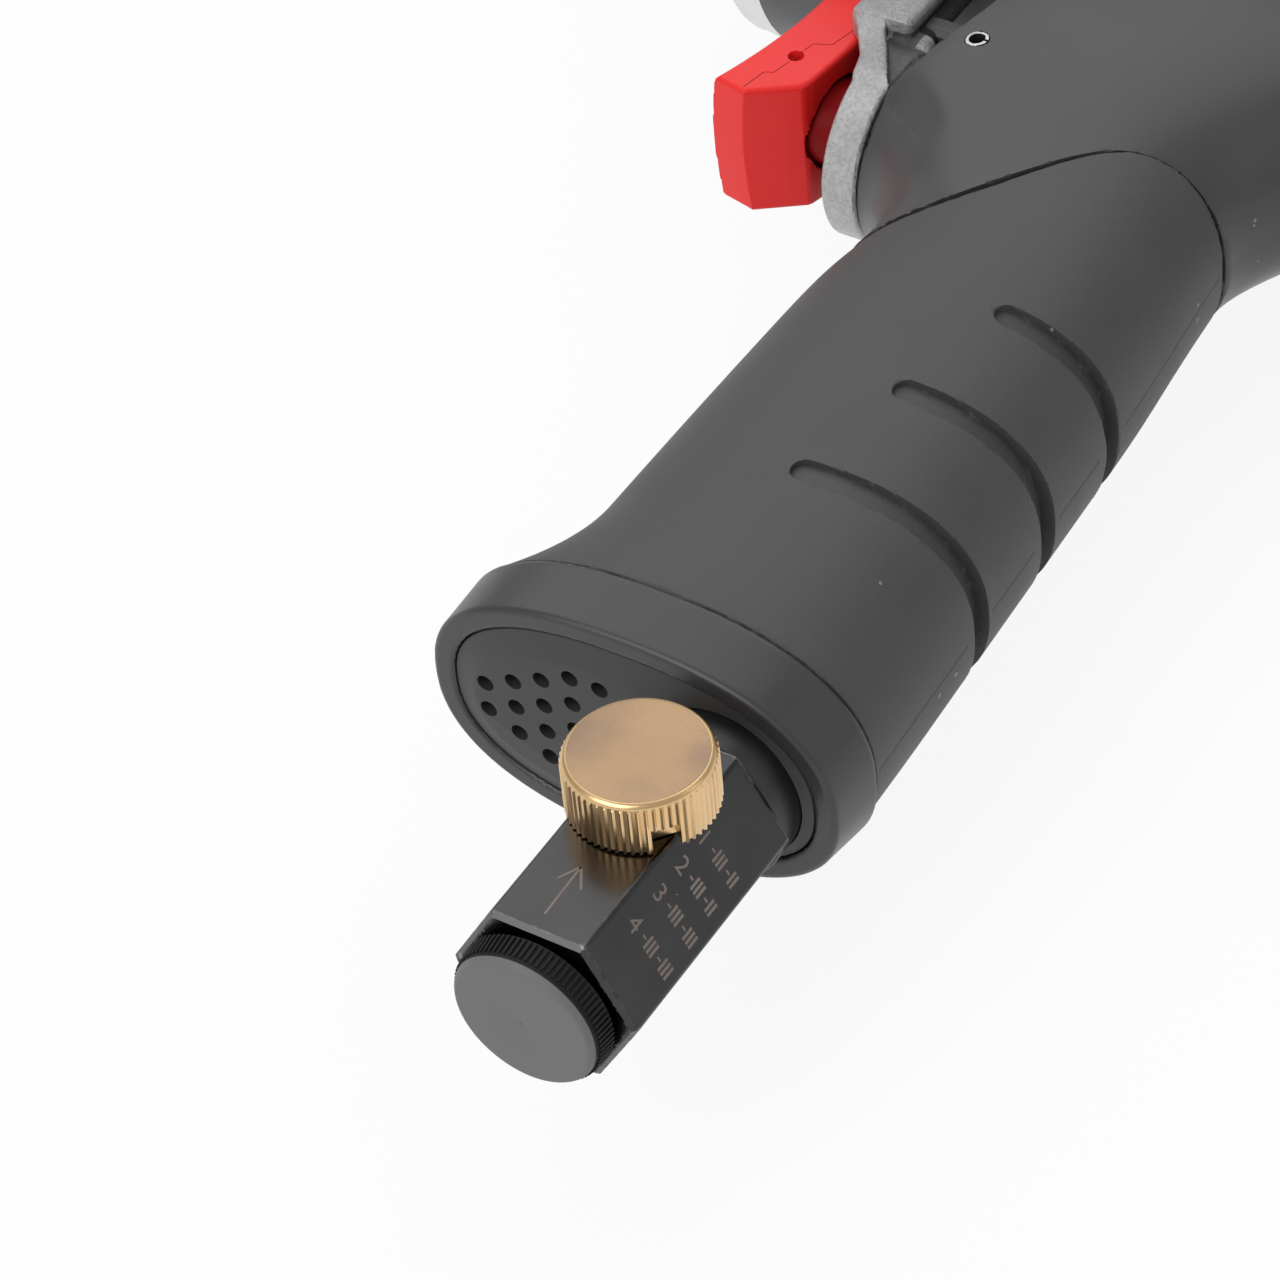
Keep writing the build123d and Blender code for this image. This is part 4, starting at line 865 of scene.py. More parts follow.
    @staticmethod
    def _spokes(graph: Graph, given: Sockets) -> Source:
        """Brushing that runs out from the local Z axis.

        Args:
            graph: Graph of the tree.
            given: The tree's inputs.

        Returns:
            The group's result.
        """
        parts = graph.add("ShaderNodeSeparateXYZ", {0: given["Vector"]})
        angle = graph.math("ARCTAN2", parts.outputs[1], parts.outputs[0])
        given_lines = {"W": graph.math("MULTIPLY", angle, given["Scale"]), "Scale": 0.02, "Detail": 4.0}
        return graph.add("ShaderNodeTexNoise", given_lines, noise_dimensions="1D")


PATCH_SCALE = 70.0
HOLLOW_HEIGHTS = (0.62, 0.38)
DUST_COVER = 0.55
DUST_COLOUR = (0.35, 0.34, 0.33)


@dataclass(frozen=True)
class Finish:
    """One finish: its colours, gloss and relief, and where its pattern is centred."""

    name: str
    slot: str
    colour: Colour
    tint: Colour
    roughness: float
    metallic: float = 0.0
    surface: Surface = Surface.MOULDED
    scale: float = 1500.0
    relief: float = 0.02
    drift: float = 0.5
    gloss_drift: float = 0.08
    dust: float = 0.0
    wear: float = 0.0
    wear_colour: Colour = (0.45, 0.45, 0.46)
    tone_in_relief: float = 0.0
    specular: float = 0.5
    centre: Point = (0.0, 0.0, 0.0)
    turn: Point = (0.0, 0.0, 0.0)

    def material(self, effects: Effects) -> bpy.types.Material:
        """Builds the finish's material, or finds the one that is built.

        Args:
            effects: The shared shader groups.

        Returns:
            The material.
        """
        found = bpy.data.materials.get(self.name)
        if found:
            return found
        material, graph = new_material(self.name)
        where = graph.add("ShaderNodeTexCoord").outputs["Object"]
        shift = tuple(-MM * value for value in self.centre)
        moved = graph.add("ShaderNodeVectorMath", {0: where, 1: shift}, operation="ADD")
        vector = graph.add("ShaderNodeMapping", {"Vector": moved, "Rotation": self.turn})

        def effect(tree: Tree, **values: float) -> Socket:
            """First output of a shared group on this finish's coordinates."""
            return graph.add("ShaderNodeGroup", {"Vector": vector, **values}, node_tree=tree).outputs[0]

        patches = effect(effects.patches, Scale=PATCH_SCALE)
        height = effect(effects.relief[self.surface], Scale=self.scale)
        drift = graph.math("MULTIPLY", patches, self.drift)
        colour = graph.blend(drift, (*self.colour, 1.0), (*self.tint, 1.0))
        if self.tone_in_relief:
            low = graph.ramp(height, *HOLLOW_HEIGHTS)
            colour = graph.blend(graph.math("MULTIPLY", low, self.tone_in_relief), colour, (*self.tint, 1.0))
        rough = graph.math("MULTIPLY_ADD", patches, self.gloss_drift)
        rough.node.inputs[2].default_value = self.roughness - self.gloss_drift / 2
        if self.wear:
            mask = graph.math("MULTIPLY", effect(effects.edges), self.wear)
            colour = graph.blend(mask, colour, (*self.wear_colour, 1.0))
        if self.dust:
            mask = graph.math("MULTIPLY", effect(effects.specks, Density=self.dust), DUST_COVER)
            colour = graph.blend(mask, colour, (*DUST_COLOUR, 1.0))
            rough = graph.math("MAXIMUM", rough, mask)
        bump = graph.add("ShaderNodeBump", {"Height": height, "Strength": 1.0, "Distance": self.relief * MM})
        given = {"Base Color": colour, "Roughness": rough, "Metallic": self.metallic, "Normal": bump}
        given["Specular IOR Level"] = self.specular
        graph.add("ShaderNodeOutputMaterial", {"Surface": graph.add("ShaderNodeBsdfPrincipled", given)})
        return material


ALONG_X = (0.0, radians(-90.0), 0.0)
ALONG_Y = (radians(90.0), 0.0, 0.0)
INLET_PLACE = (INLET_X, KNOB_Y, 0.0)

COMPOSITE = Finish(
    "housing_composite", "black_composite", (0.046, 0.046, 0.047), (0.056, 0.056, 0.057), 0.36,
    scale=2600.0, relief=0.01, dust=0.22, specular=0.42,
)
SLEEVE = Finish(
    "sleeve_rubber", "grip_rubber", (0.05, 0.05, 0.051), (0.064, 0.064, 0.065), 0.55,
    surface=Surface.LEATHER, scale=3200.0, relief=0.03, dust=0.32,
)
FOOT_SKIN = Finish(
    "foot_plastic_skin", "foot_plastic", (0.034, 0.034, 0.035), (0.044, 0.044, 0.045), 0.36,
    scale=2600.0, relief=0.01, dust=0.14,
)
GRILLE_SKIN = Finish(
    "grille_plastic_skin", "grille_plastic", (0.036, 0.036, 0.037), (0.046, 0.046, 0.046), 0.55,
    scale=2400.0, relief=0.025, dust=0.12,
)
CAST_FRAME = Finish(
    "frame_casting", "cast_alloy", (0.6, 0.6, 0.605), (0.3, 0.3, 0.305), 0.4, 0.9,
    Surface.CAST, 1700.0, 0.4, wear=0.3, wear_colour=(0.85, 0.85, 0.86), tone_in_relief=0.6,
)
# Painted shade: a darker copy of the casting, for the hollow behind the neck and the side of the spine, where
# shade falls.
CAST_PAINTED_SHADE = Finish(
    "frame_painted_shade", "cast_alloy", (0.17, 0.17, 0.173), (0.08, 0.08, 0.081), 0.5, 0.6,
    Surface.CAST, 1700.0, 0.3, tone_in_relief=0.6,
)
# Painted shade: a near-black copy of the casting for the shelf beside the frame, with dust specks on it.
CAST_SHADE = Finish(
    "frame_shaded_shelf", "cast_alloy", (0.02, 0.02, 0.021), (0.03, 0.03, 0.031), 0.6, 0.2,
    Surface.CAST, 1700.0, 0.3, dust=0.5, specular=0.2,
)
CASE_SKIN = Finish(
    "case_dark_coat", "case_alloy", (0.085, 0.085, 0.088), (0.13, 0.13, 0.135), 0.4, 0.6,
    Surface.CAST, 1600.0, 0.03, wear=0.3, wear_colour=(0.5, 0.5, 0.51),
)
CASE_BAND = Finish(
    "case_bright_band", "case_alloy", (0.72, 0.72, 0.73), (0.6, 0.6, 0.61), 0.32, 1.0,
    Surface.TURNED, 5200.0, 0.004, turn=ALONG_X, gloss_drift=0.1,
)
DRIVE_STEEL = Finish(
    "drive_steel_skin", "drive_steel", (0.42, 0.42, 0.43), (0.3, 0.3, 0.31), 0.28, 1.0,
    Surface.TURNED, 4200.0, 0.004, turn=ALONG_X, wear=0.5, wear_colour=(0.75, 0.75, 0.76),
)
TOOL_STEEL = Finish(
    "tool_steel_skin", "tool_steel", (0.38, 0.38, 0.39), (0.28, 0.28, 0.29), 0.32, 1.0,
    Surface.TURNED, 3600.0, 0.004, turn=ALONG_X,
)
PIN_STEEL = Finish(
    "pin_steel_skin", "tool_steel", (0.46, 0.46, 0.47), (0.34, 0.34, 0.35), 0.3, 1.0,
    Surface.BRUSHED, 5000.0, 0.003, wear=0.2, wear_colour=(0.7, 0.7, 0.7),
)
BLACK_OXIDE = Finish(
    "regulator_black_oxide", "black_oxide", (0.058, 0.058, 0.061), (0.085, 0.083, 0.081), 0.24, 1.0,
    Surface.BRUSHED, 3000.0, 0.002, wear=0.5, wear_colour=(0.34, 0.34, 0.34), gloss_drift=0.1, dust=0.2,
)
BUSHING_OXIDE = Finish(
    "bushing_black_oxide", "black_oxide", (0.05, 0.05, 0.052), (0.08, 0.08, 0.08), 0.36, 0.8,
    Surface.TURNED, 4200.0, 0.004, turn=ALONG_Y, centre=INLET_PLACE,
)
BOLT_OXIDE = Finish(
    "bolt_black_oxide", "black_oxide", (0.06, 0.06, 0.063), (0.1, 0.1, 0.1), 0.33, 0.85,
    Surface.TURNED, 4000.0, 0.004, turn=ALONG_X, wear=0.4, wear_colour=(0.4, 0.4, 0.4),
)
BRASS_SIDE = Finish(
    "knob_brass_side", "knob_brass", (0.8, 0.55, 0.28), (0.54, 0.35, 0.18), 0.28, 1.0,
    Surface.BRUSHED, 4000.0, 0.003, wear=0.5, wear_colour=(0.85, 0.66, 0.44), centre=INLET_PLACE,
    turn=(radians(90.0), 0.0, 0.0),
)
# The knob's top face is darker than its side: partly tarnish, partly painted shade on the flat face.
BRASS_FACE_TARNISH_AND_SHADE = Finish(
    "knob_face_tarnish_and_shade", "knob_brass", (0.38, 0.25, 0.14), (0.21, 0.155, 0.12), 0.36, 1.0,
    Surface.RADIAL, 2600.0, 0.006, centre=INLET_PLACE, tone_in_relief=0.4, drift=0.8, gloss_drift=0.12,
)
PLUG_SKIN = Finish(
    "plug_plastic_skin", "plug_plastic", (0.125, 0.125, 0.126), (0.15, 0.15, 0.15), 0.6,
    scale=1800.0, relief=0.02, dust=0.1,
)
# Painted shade: a near-black copy of the plug's grey plastic for its ribs and its side, which sit in shadow
# below the face.
PLUG_SHADE = Finish(
    "plug_painted_shade", "plug_plastic", (0.012, 0.012, 0.012), (0.02, 0.02, 0.02), 0.65,
    scale=1800.0, relief=0.01, specular=0.2,
)
TRIGGER_RED = Finish(
    "trigger_red_plastic", "trigger_red", (0.8, 0.02, 0.018), (0.85, 0.026, 0.023), 0.36,
    scale=1400.0, relief=0.004, dust=0.1, specular=0.32,
)
# Painted shade: a dark copy of the trigger red for the skirt and the gap round it, where the trigger's back
# is in shadow; the mould line is drawn in it too.
TRIGGER_SHADE_AND_SEAM = Finish(
    "trigger_skirt_shade_and_seam", "trigger_red", (0.19, 0.004, 0.005), (0.24, 0.006, 0.008), 0.4,
    scale=1400.0, relief=0.01, specular=0.08,
)
BRONZE = Finish(
    "bearing_bronze_skin", "bearing_bronze", (0.5, 0.33, 0.17), (0.38, 0.24, 0.12), 0.34, 1.0,
    Surface.TURNED, 3200.0, 0.004, turn=ALONG_X,
)
IRON = Finish(
    "motor_iron_skin", "motor_iron", (0.26, 0.26, 0.265), (0.2, 0.2, 0.2), 0.38, 1.0,
    Surface.TURNED, 2800.0, 0.005, turn=ALONG_X,
)
SEAL_RUBBER = Finish("seal_rubber_skin", "seal_rubber", (0.016, 0.016, 0.016), (0.03, 0.03, 0.03), 0.6)
GASKET = Finish(
    "gasket_fibre_skin", "gasket_fibre", (0.12, 0.1, 0.08), (0.17, 0.14, 0.11), 0.85,
    surface=Surface.FIBRE, relief=0.05,
)
LAMINATE = Finish(
    "vane_laminate_skin", "vane_laminate", (0.2, 0.09, 0.035), (0.28, 0.13, 0.05), 0.5,
    surface=Surface.FIBRE, scale=2600.0, relief=0.02,
)
FELT = Finish(
    "felt_skin", "felt", (0.36, 0.35, 0.33), (0.46, 0.45, 0.42), 0.95,
    surface=Surface.FIBRE, scale=2200.0, relief=0.2,
)
ETCHED = Finish(
    "etched_mark", "black_oxide", (0.24, 0.19, 0.165), (0.15, 0.12, 0.105), 0.6, 0.2,
    scale=3500.0, relief=0.01, drift=0.8,
)

INNER_FINISHES = {
    TOOL_STEEL: (
        "hammer_cage", "rear_hammer", "front_hammer", "hammer_pins", "front_bearing", "rear_bearing",
    ),
    IRON: ("front_end_plate", "cylinder_liner", "rotor", "rear_end_plate"),
    PIN_STEEL: ("trigger_pin", "trigger_stem", "reverse_spool", "inlet_screen"),
    BRONZE: ("nose_bushing", "stem_bushing", "throttle_seat"),
    BUSHING_OXIDE: ("regulator_spool",),
    SEAL_RUBBER: ("spool_seal", "stem_seal", "throttle_valve", "socket_cushion"),
    GASKET: ("case_gasket", "rear_gasket"),
    LAMINATE: ("vanes",),
    FELT: ("silencer_felt",),
}


class Workshop:
    """Makes pieces from meshes and puts them on their bodies."""

    def __init__(self, effects: Effects) -> None:
        """Keeps the shared effects."""
        self.effects = effects

    def put(
        self, name: str, mesh: Mesh, finishes: Sequence[Finish], body: Body, nodes: Sequence[str] = ()
    ) -> bpy.types.Object:
        """Adds a piece to the object.

        Args:
            name: Name of the piece.
            mesh: Its mesh, in place.
            finishes: Its finishes, in the order of the mesh's material numbers.
            body: The body it moves with.
            nodes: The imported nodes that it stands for.

        Returns:
            The piece.
        """
        piece = added(name, mesh)
        for index, finish in enumerate(finishes):
            material = finish.material(self.effects)
            if index < len(mesh.materials):
                mesh.materials[index] = material
            else:
                mesh.materials.append(material)
        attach(piece, body.value)
        if nodes:
            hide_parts(*nodes)
        LOG.info("%s: %d faces on %s", name, len(mesh.polygons), body.value)
        return piece

    def paint(self, node: str, finish: Finish) -> None:
        """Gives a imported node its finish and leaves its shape.

        Args:
            node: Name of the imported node.
            finish: Its finish.
        """
        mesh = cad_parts[node].data
        mesh.materials.clear()
        mesh.materials.append(finish.material(self.effects))
        LOG.info("%s: %s", node, finish.name)

    def grow(
        self, name: str, tree: str, base: Mesh | None, finish: Finish, values: dict, draw: Drawing
    ) -> Mesh:
        """Runs a geometry tree and gives back its result as a plain mesh.

        Args:
            name: Name of the mesh.
            tree: Name of the tree.
            base: Mesh that the tree starts from, or none.
            finish: Finish that the tree sets on its result.
            values: The tree's other inputs by name.
            draw: Adds the tree's nodes and gives back the last one.

        Returns:
            The plain mesh.
        """
        inputs = {"Geometry": (GEOMETRY, None)} if base else {}
        inputs |= {title: (SOCKET_OF[type(value)], value) for title, value in values.items()}
        inputs["Material"] = (MATERIAL, None)
        graph, given, result = new_group(tree, GEOMETRY_TREE, inputs, {"Geometry": GEOMETRY})
        real = graph.add("GeometryNodeRealizeInstances", {0: draw(graph, given)})
        dressed = graph.add("GeometryNodeSetMaterial", {"Geometry": real, "Material": given["Material"]})
        graph.link(dressed, result["Geometry"])
        carrier = added(name + "_carrier", base or bpy.data.meshes.new(name + "_base"))
        modifier = carrier.modifiers.new(name, "NODES")
        modifier.node_group = graph.tree
        chosen = {**values, "Material": finish.material(self.effects)}
        for item in graph.tree.interface.items_tree:
            if item.in_out == "INPUT" and item.name in chosen:
                modifier[item.identifier] = chosen[item.name]
        bpy.context.view_layer.update()
        seen = carrier.evaluated_get(bpy.context.evaluated_depsgraph_get())
        mesh = bpy.data.meshes.new_from_object(seen)
        mesh.name = name
        carrier.modifiers.remove(modifier)
        bpy.data.objects.remove(carrier)
        finish_shading(mesh)
        return mesh


def ring_of_screws(graph: Graph, given: Sockets) -> Node:
    """Sets copies of one screw on a circle about the drive axis.

    Args:
        graph: Graph of the tree.
        given: The tree's inputs.

    Returns:
        The last node.
    """
    half_step = graph.vector(z=graph.math("DIVIDE", pi, given["Count"]))
    spun = graph.moved(graph.circle(given["Count"], given["Circle Radius"]), Rotation=half_step)
    upright = graph.vector(radians(90.0), 0.0, radians(90.0))
    return graph.copies(graph.moved(spun, Rotation=upright), given["Geometry"])


@dataclass
class Handle:
    """Motor housing, grip sleeve, foot cap and exhaust grille."""

    workshop: Workshop
    grip_top: float = 56.0
    grip_end: float = 167.3
    grip_power: float = 2.35
    grip_back: Flat = (-116.2, -4.4)
    back_swell: Point = (1.7, 100.0, 30.0)
    grip_front: Point = (-73.0, 2.9, 0.75)
    waist: Point = (1.5, 88.0, 8.0)
    flare: Flat = (7.1, 149.5)
    grip_half_width: Flat = (17.2, 1.25)
    panel_power: float = 4.4
    panel_swell: float = 1.3
    panel_start: Flat = (84.0, 18.0)
    panel_back: Point = (22.0, 66.0, 28.0)
    panel_reach: float = 13.0
    housing_step: float = 0.2
    sleeve_wall: float = 3.2
    core_end: float = 167.0
    barrel_radius: float = 31.8
    barrel_front: float = -64.0
    barrel_tail: Flat = (-128.0, 30.0)
    barrel_back: float = -140.0
    seam: tuple[Flat, ...] = (
        (-135.0, 64.4), (-115.0, 64.3), (-101.6, 66.8), (-88.4, 81.6), (-78.0, 90.0), (-58.0, 95.0),
    )
    seam_gap: float = 0.4
    panel_top: float = 22.0
    panel_edge: tuple[Flat, ...] = ((-71.8, 20.0), (-69.9, 53.0), (-64.4, 66.2))
    snout: tuple[Point, ...] = ((-64.4, 61.0, 13.4), (-80.0, 65.0, 15.5))
    snout_back_height: float = 23.0
    step_place: Flat = (-70.2, 66.1)
    step_depth: float = 1.6
    step_turn: float = 141.0
    step_span: Flat = (-4.5, 8.0)
    step_soft: float = 0.75
    step_fade: float = 2.0
    step_tail: float = 3.0
    lip_low: Point = (-73.5, 33.0, 9.7)
    lip_high: Point = (-61.6, 46.9, 11.0)
    lip_step: Flat = (49.7, 12.2)
    groove_starts: tuple[Flat, ...] = ((-104.0, 102.6), (-100.1, 121.7), (-96.4, 140.7))
    groove_half_width: float = 1.95
    groove_tilt: float = 4.7
    groove_reach: float = 40.0
    groove_depths: Flat = (2.0, 0.8)
    groove_lip: float = 0.25
    groove_corner: float = 0.2
    foot_top: float = 167.7
    foot_rim: float = 175.2
    foot_bottom: float = 176.5
    foot_floor: float = 172.5
    foot_top_oval: Point = (-121.2, -62.7, 19.1)
    foot_rim_oval: Point = (-120.4, -62.7, 18.0)
    foot_edge: float = 0.8
    rim_width: float = 3.1
    grille_fit: float = 0.15
    grille_edge: float = 176.0
    grille_face: float = 177.4
    grille_bevel: float = 3.2
    grille_steps: int = 96
    hole_radius: float = 1.2
    hole_pitch: Flat = (4.3, 4.4)
    hole_first_x: float = -71.2
    hole_columns: tuple[int, ...] = (2, 3, 4, 5, 5)
    drill_length: float = 20.0
    pin_bore: float = 1.15
    pin_slot: float = 0.22
    pin_reach: float = 40.0
    frame_slot: tuple[Point, Point] = ((-74.3, 0.0, -1.0), (-60.0, 50.3, 9.3))
    liner_bore: Bore = Bore(X, DRIVE_AXIS, 27.0, -126.0, -60.0)
    rear_opening: Bore = Bore(X, DRIVE_AXIS, 22.0, -145.0, -125.0)
    boss_seat: Bore = Bore(X, (STEM_Y, 0.0), 10.3, -68.0, -60.0, 0.4)
    stem_bore: Bore = Bore(X, (STEM_Y, 0.0), 6.5, -82.0, -60.0)
    valve_chamber: Bore = Bore(X, (STEM_Y, 0.0), 7.3, -107.5, -81.0)
    air_passage: Bore = Bore(Y, (INLET_X, 0.0), 6.0, STEM_Y, 170.0)
    bushing_seat: Bore = Bore(Y, (INLET_X, 0.0), BUSHING_RADIUS, 142.0, 170.0)
    exhaust_duct: Bore = Bore(Y, (-84.0, 11.5), 2.6, 24.0, 81.0)
    exhaust_x: float = -84.5
    exhaust_half: Flat = (7.0, 10.5)
    exhaust_corner: float = 5.0
    screw_circle: float = 26.0
    screw_count: int = 4

    def build(self) -> None:
        """Makes all the pieces of the handle."""
        put = self.workshop.put
        put("housing_shell", self.housing(), [COMPOSITE], Body.TOOL, ["motor_housing"])
        put("housing_lip", self.lip(), [COMPOSITE], Body.TOOL)
        put("grip_cover", self.sleeve(), [SLEEVE], Body.TOOL, ["grip_sleeve"])
        put("grip_parting_line", self.parting_line(), [SEAL_RUBBER], Body.TOOL)
        put("foot_shell", self.foot(), [FOOT_SKIN], Body.TOOL, ["foot_cap"])
        put("exhaust_plate", self.grille(), [GRILLE_SKIN], Body.TOOL, ["exhaust_grille"])
        put("roll_pin", self.pin(), [PIN_STEEL], Body.TOOL, ["bushing_pin"])

    def grip_edges(self, y: Array, insets: Point = (0.0, 0.0, 0.0)) -> tuple:
        """Back edge, front edge and half width of the grip.

        Args:
            y: Distances down the handle.
            insets: How far the back, the sides and the front are drawn in.

        Returns:
            The three values at each distance.
        """
        share = (y - self.grip_top) / (self.grip_end - self.grip_top)
        growth, end, span = self.back_swell
        back = self.grip_back[0] + self.grip_back[1] * share + growth * swell(y, end, span)
        start, slope, bow = self.grip_front
        front = start + slope * share + bow * np.sin(pi * np.maximum(share, 0.0))
        depth, middle, span = self.waist
        front = front - depth * np.exp(-(((y - middle) / span) ** 2))
        reach, start = self.flare
        flared = np.maximum(y - start, 0.0) / (self.grip_end - start)
        front = front + reach * flared**2
        half_width = self.grip_half_width[0] + self.grip_half_width[1] * share
        back_inset, side_inset, front_inset = insets
        return back + back_inset, front - front_inset, half_width - side_inset

    def sleeve_skin(self, points: Array, back_inset: float = 0.0, side_inset: float = 0.0) -> Array:
        """Distance to the sleeve's outside, drawn in at the back and the sides.

        Args:
            points: Places, one in each row.
            back_inset: How far the back is drawn in.
            side_inset: How far the sides are drawn in.

        Returns:
            Signed distances.
        """
        y = points[:, Y]
        back, front, half_width = self.grip_edges(y, (back_inset, side_inset, 0.0))
        wide = half_width + self.panel_swell * swell(y, *self.panel_start)
        return oval(points, (back, front, wide), self.grip_power)

    def panels(self, points: Array) -> Array:
        """Distance to the upper handle, which is fuller towards the front.

        Args:
            points: Places, one in each row.

        Returns:
            Signed distances.
        """
        y = points[:, Y]
        back, front, half_width = self.grip_edges(y)
        ahead = swell(y, *self.panel_start)
        growth, end, span = self.panel_back
        back = back - self.housing_step - growth * swell(y, end, span)
        front = front + self.housing_step + self.panel_reach * ahead
        wide = half_width + self.housing_step + self.panel_swell * ahead
        fuller = self.grip_power + (self.panel_power - self.grip_power) * ahead
        return oval(points, (back, front, wide), self.grip_power, fuller)

    def step(self, points: Array) -> Array:
        """Depth of the soft step from each panel down to the snout, which fades out along its length.

        Args:
            points: Places, one in each row.

        Returns:
            Depths in millimetres.
        """
        turn = radians(self.step_turn)
        x, y = points[:, X] - self.step_place[0], points[:, Y] - self.step_place[1]
        along = x * cos(turn) + y * sin(turn)
        across = np.clip(y * cos(turn) - x * sin(turn), -EASE_REACH, EASE_REACH)
        first, last = self.step_span
        depth = self.step_depth * ease(across, self.step_soft) * ease(first - along, 1.0)
        depth = depth * ease(along - last, self.step_fade)
        return depth * np.exp(np.minimum(across + self.step_tail, 0.0) / self.step_tail)

    def seam_drop(self, points: Array) -> Array:
        """Distance below the line on which the housing meets the sleeve.

        Args:
            points: Places, one in each row.

        Returns:
            Distances, positive below the line.
        """
        xs, ys = np.array(self.seam).T
        count = len(xs)
        gaps = np.diff(xs)
        slopes = np.diff(ys) / gaps
        system = np.eye(count)
        right = np.zeros(count)
        for index in range(1, count - 1):
            before, after = gaps[index - 1], gaps[index]
            system[index, index - 1 : index + 2] = (before, 2 * (before + after), after)
            right[index] = 6 * (slopes[index] - slopes[index - 1])
        bend = np.linalg.solve(system, right)
        x = np.clip(points[:, X], xs[0], xs[-1])
        place = np.clip(np.searchsorted(xs, x) - 1, 0, count - 2)
        gap = gaps[place]
        far = (xs[place + 1] - x) / gap
        near = (x - xs[place]) / gap
        height = far * ys[place] + near * ys[place + 1]
        height += ((far**3 - far) * bend[place] + (near**3 - near) * bend[place + 1]) * gap**2 / 6
        turning = (1 - 3 * far**2) * bend[place] + (3 * near**2 - 1) * bend[place + 1]
        slope = slopes[place] + gap / 6 * turning
        return (points[:, Y] - height) / np.sqrt(1 + slope**2)

    def panel_front(self, points: Array) -> Array:
        """Distance ahead of the arc that ends the side panels.

        Args:
            points: Places, one in each row.

        Returns:
            Distances, positive ahead of the arc.
        """
        (ax, ay), (bx, by), (cx, cy) = self.panel_edge
        turn = 2 * (ax * (by - cy) + bx * (cy - ay) + cx * (ay - by))
        squares = [x * x + y * y for x, y in self.panel_edge]
        middle_x = (squares[0] * (by - cy) + squares[1] * (cy - ay) + squares[2] * (ay - by)) / turn
        middle_y = (squares[0] * (cx - bx) + squares[1] * (ax - cx) + squares[2] * (bx - ax)) / turn
        radius = np.hypot(ax - middle_x, ay - middle_y)
        y = np.clip(points[:, Y], ay, cy)
        return points[:, X] - (middle_x - np.sqrt(radius**2 - (y - middle_y) ** 2))

    def snout_form(self, points: Array) -> Array:
        """Distance to the cone behind the trigger boss.

        Args:
            points: Places, one in each row.

        Returns:
            Signed distances.
        """
        (front_x, front_y, front_radius), (back_x, back_y, back_width) = self.snout
        share = np.clip((front_x - points[:, X]) / (front_x - back_x), 0.0, 1.4)
        high = front_radius + share * (self.snout_back_height - front_radius)
        wide = front_radius + share * (back_width - front_radius)
        off_y = points[:, Y] - (front_y + share * (back_y - front_y))
        size = np.hypot(off_y / high, points[:, Z] / wide)
        reach = np.hypot(off_y, points[:, Z])
        ring = reach - reach / np.maximum(size, 1e-3)
        cone = round_off(ring, points[:, X] - front_x, 0.7)
        return np.maximum(cone, back_x - points[:, X])

    def core(self, points: Array) -> Array:
        """Distance to the handle's inner post, which the sleeve covers.

        Args:
            points: Places, one in each row.

        Returns:
            Signed distances.
        """
        wall = self.sleeve_wall
        post = oval(points, self.grip_edges(points[:, Y], (wall, wall, wall)), self.grip_power)
        return np.maximum(post, self.grip_top - points[:, Y])

    def exhaust_passage(self, points: Array, top: float) -> Array:
        """Distance to the rounded column that the spent air leaves through.

        Args:
            points: Places, one in each row.
            top: Upper end of the column.

        Returns:
            Signed distances.
        """
        along = np.abs(points[:, X] - self.exhaust_x) - self.exhaust_half[0]
        across = np.abs(points[:, Z]) - self.exhaust_half[1]
        return np.maximum(round_off(along, across, self.exhaust_corner), top - points[:, Y])

    def housing_form(self, points: Array) -> Array:
        """Distance to the motor housing.

        Args:
            points: Places, one in each row.

        Returns:
            Signed distances.
        """
        y = points[:, Y]
        panels = np.maximum(self.panels(points), self.panel_top - y)
        panels = round_off(panels, self.panel_front(points), 0.35)
        panels = fillet(panels, self.snout_form(points), 3.0) + self.step(points)
        x, z = points[:, X], points[:, Z]
        tail_x, tail_radius = self.barrel_tail
        taper = np.clip((tail_x - x) / (tail_x - self.barrel_back), 0.0, 1.2)
        reach = np.hypot(y, z) - self.barrel_radius + (self.barrel_radius - tail_radius) * taper
        ends = np.maximum(x - self.barrel_front, self.barrel_back - x)
        body = fillet(panels, round_off(reach, ends, 0.6), 6.0)
        body = np.maximum(body, x - self.barrel_front)
        body = round_off(body, self.seam_drop(points), 0.4)
        body = np.minimum(body, np.maximum(self.core(points), y - self.core_end))
        mirrored = np.stack([x, y, np.abs(z)], 1)
        body = cut(body, block(mirrored, *self.frame_slot))
        motor = (self.liner_bore, self.rear_opening)
        throttle = (self.boss_seat, self.stem_bore, self.valve_chamber)
        body = drilled(body, points, (*motor, *throttle, self.air_passage, self.bushing_seat))
        body = cut(body, self.exhaust_passage(points, 80.0))
        body = drilled(body, mirrored, (self.exhaust_duct,))
        pin, radius = self.pin_place()
        holes = [Bore(Z, pin, radius + 0.1, -self.pin_reach, self.pin_reach, 0.25)]
        places = bolt_places(self.screw_count, self.screw_circle)
        return drilled(body, points, holes + [Bore(X, place, 2.0, -145.0, -130.0) for place in places])

    def pin_place(self) -> tuple[Flat, float]:
        """Place and radius of the roll pin across the handle."""
        low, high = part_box("bushing_pin")
        return ((low.x + high.x) / 2 / MM, (low.y + high.y) / 2 / MM), (high.x - low.x) / 2 / MM

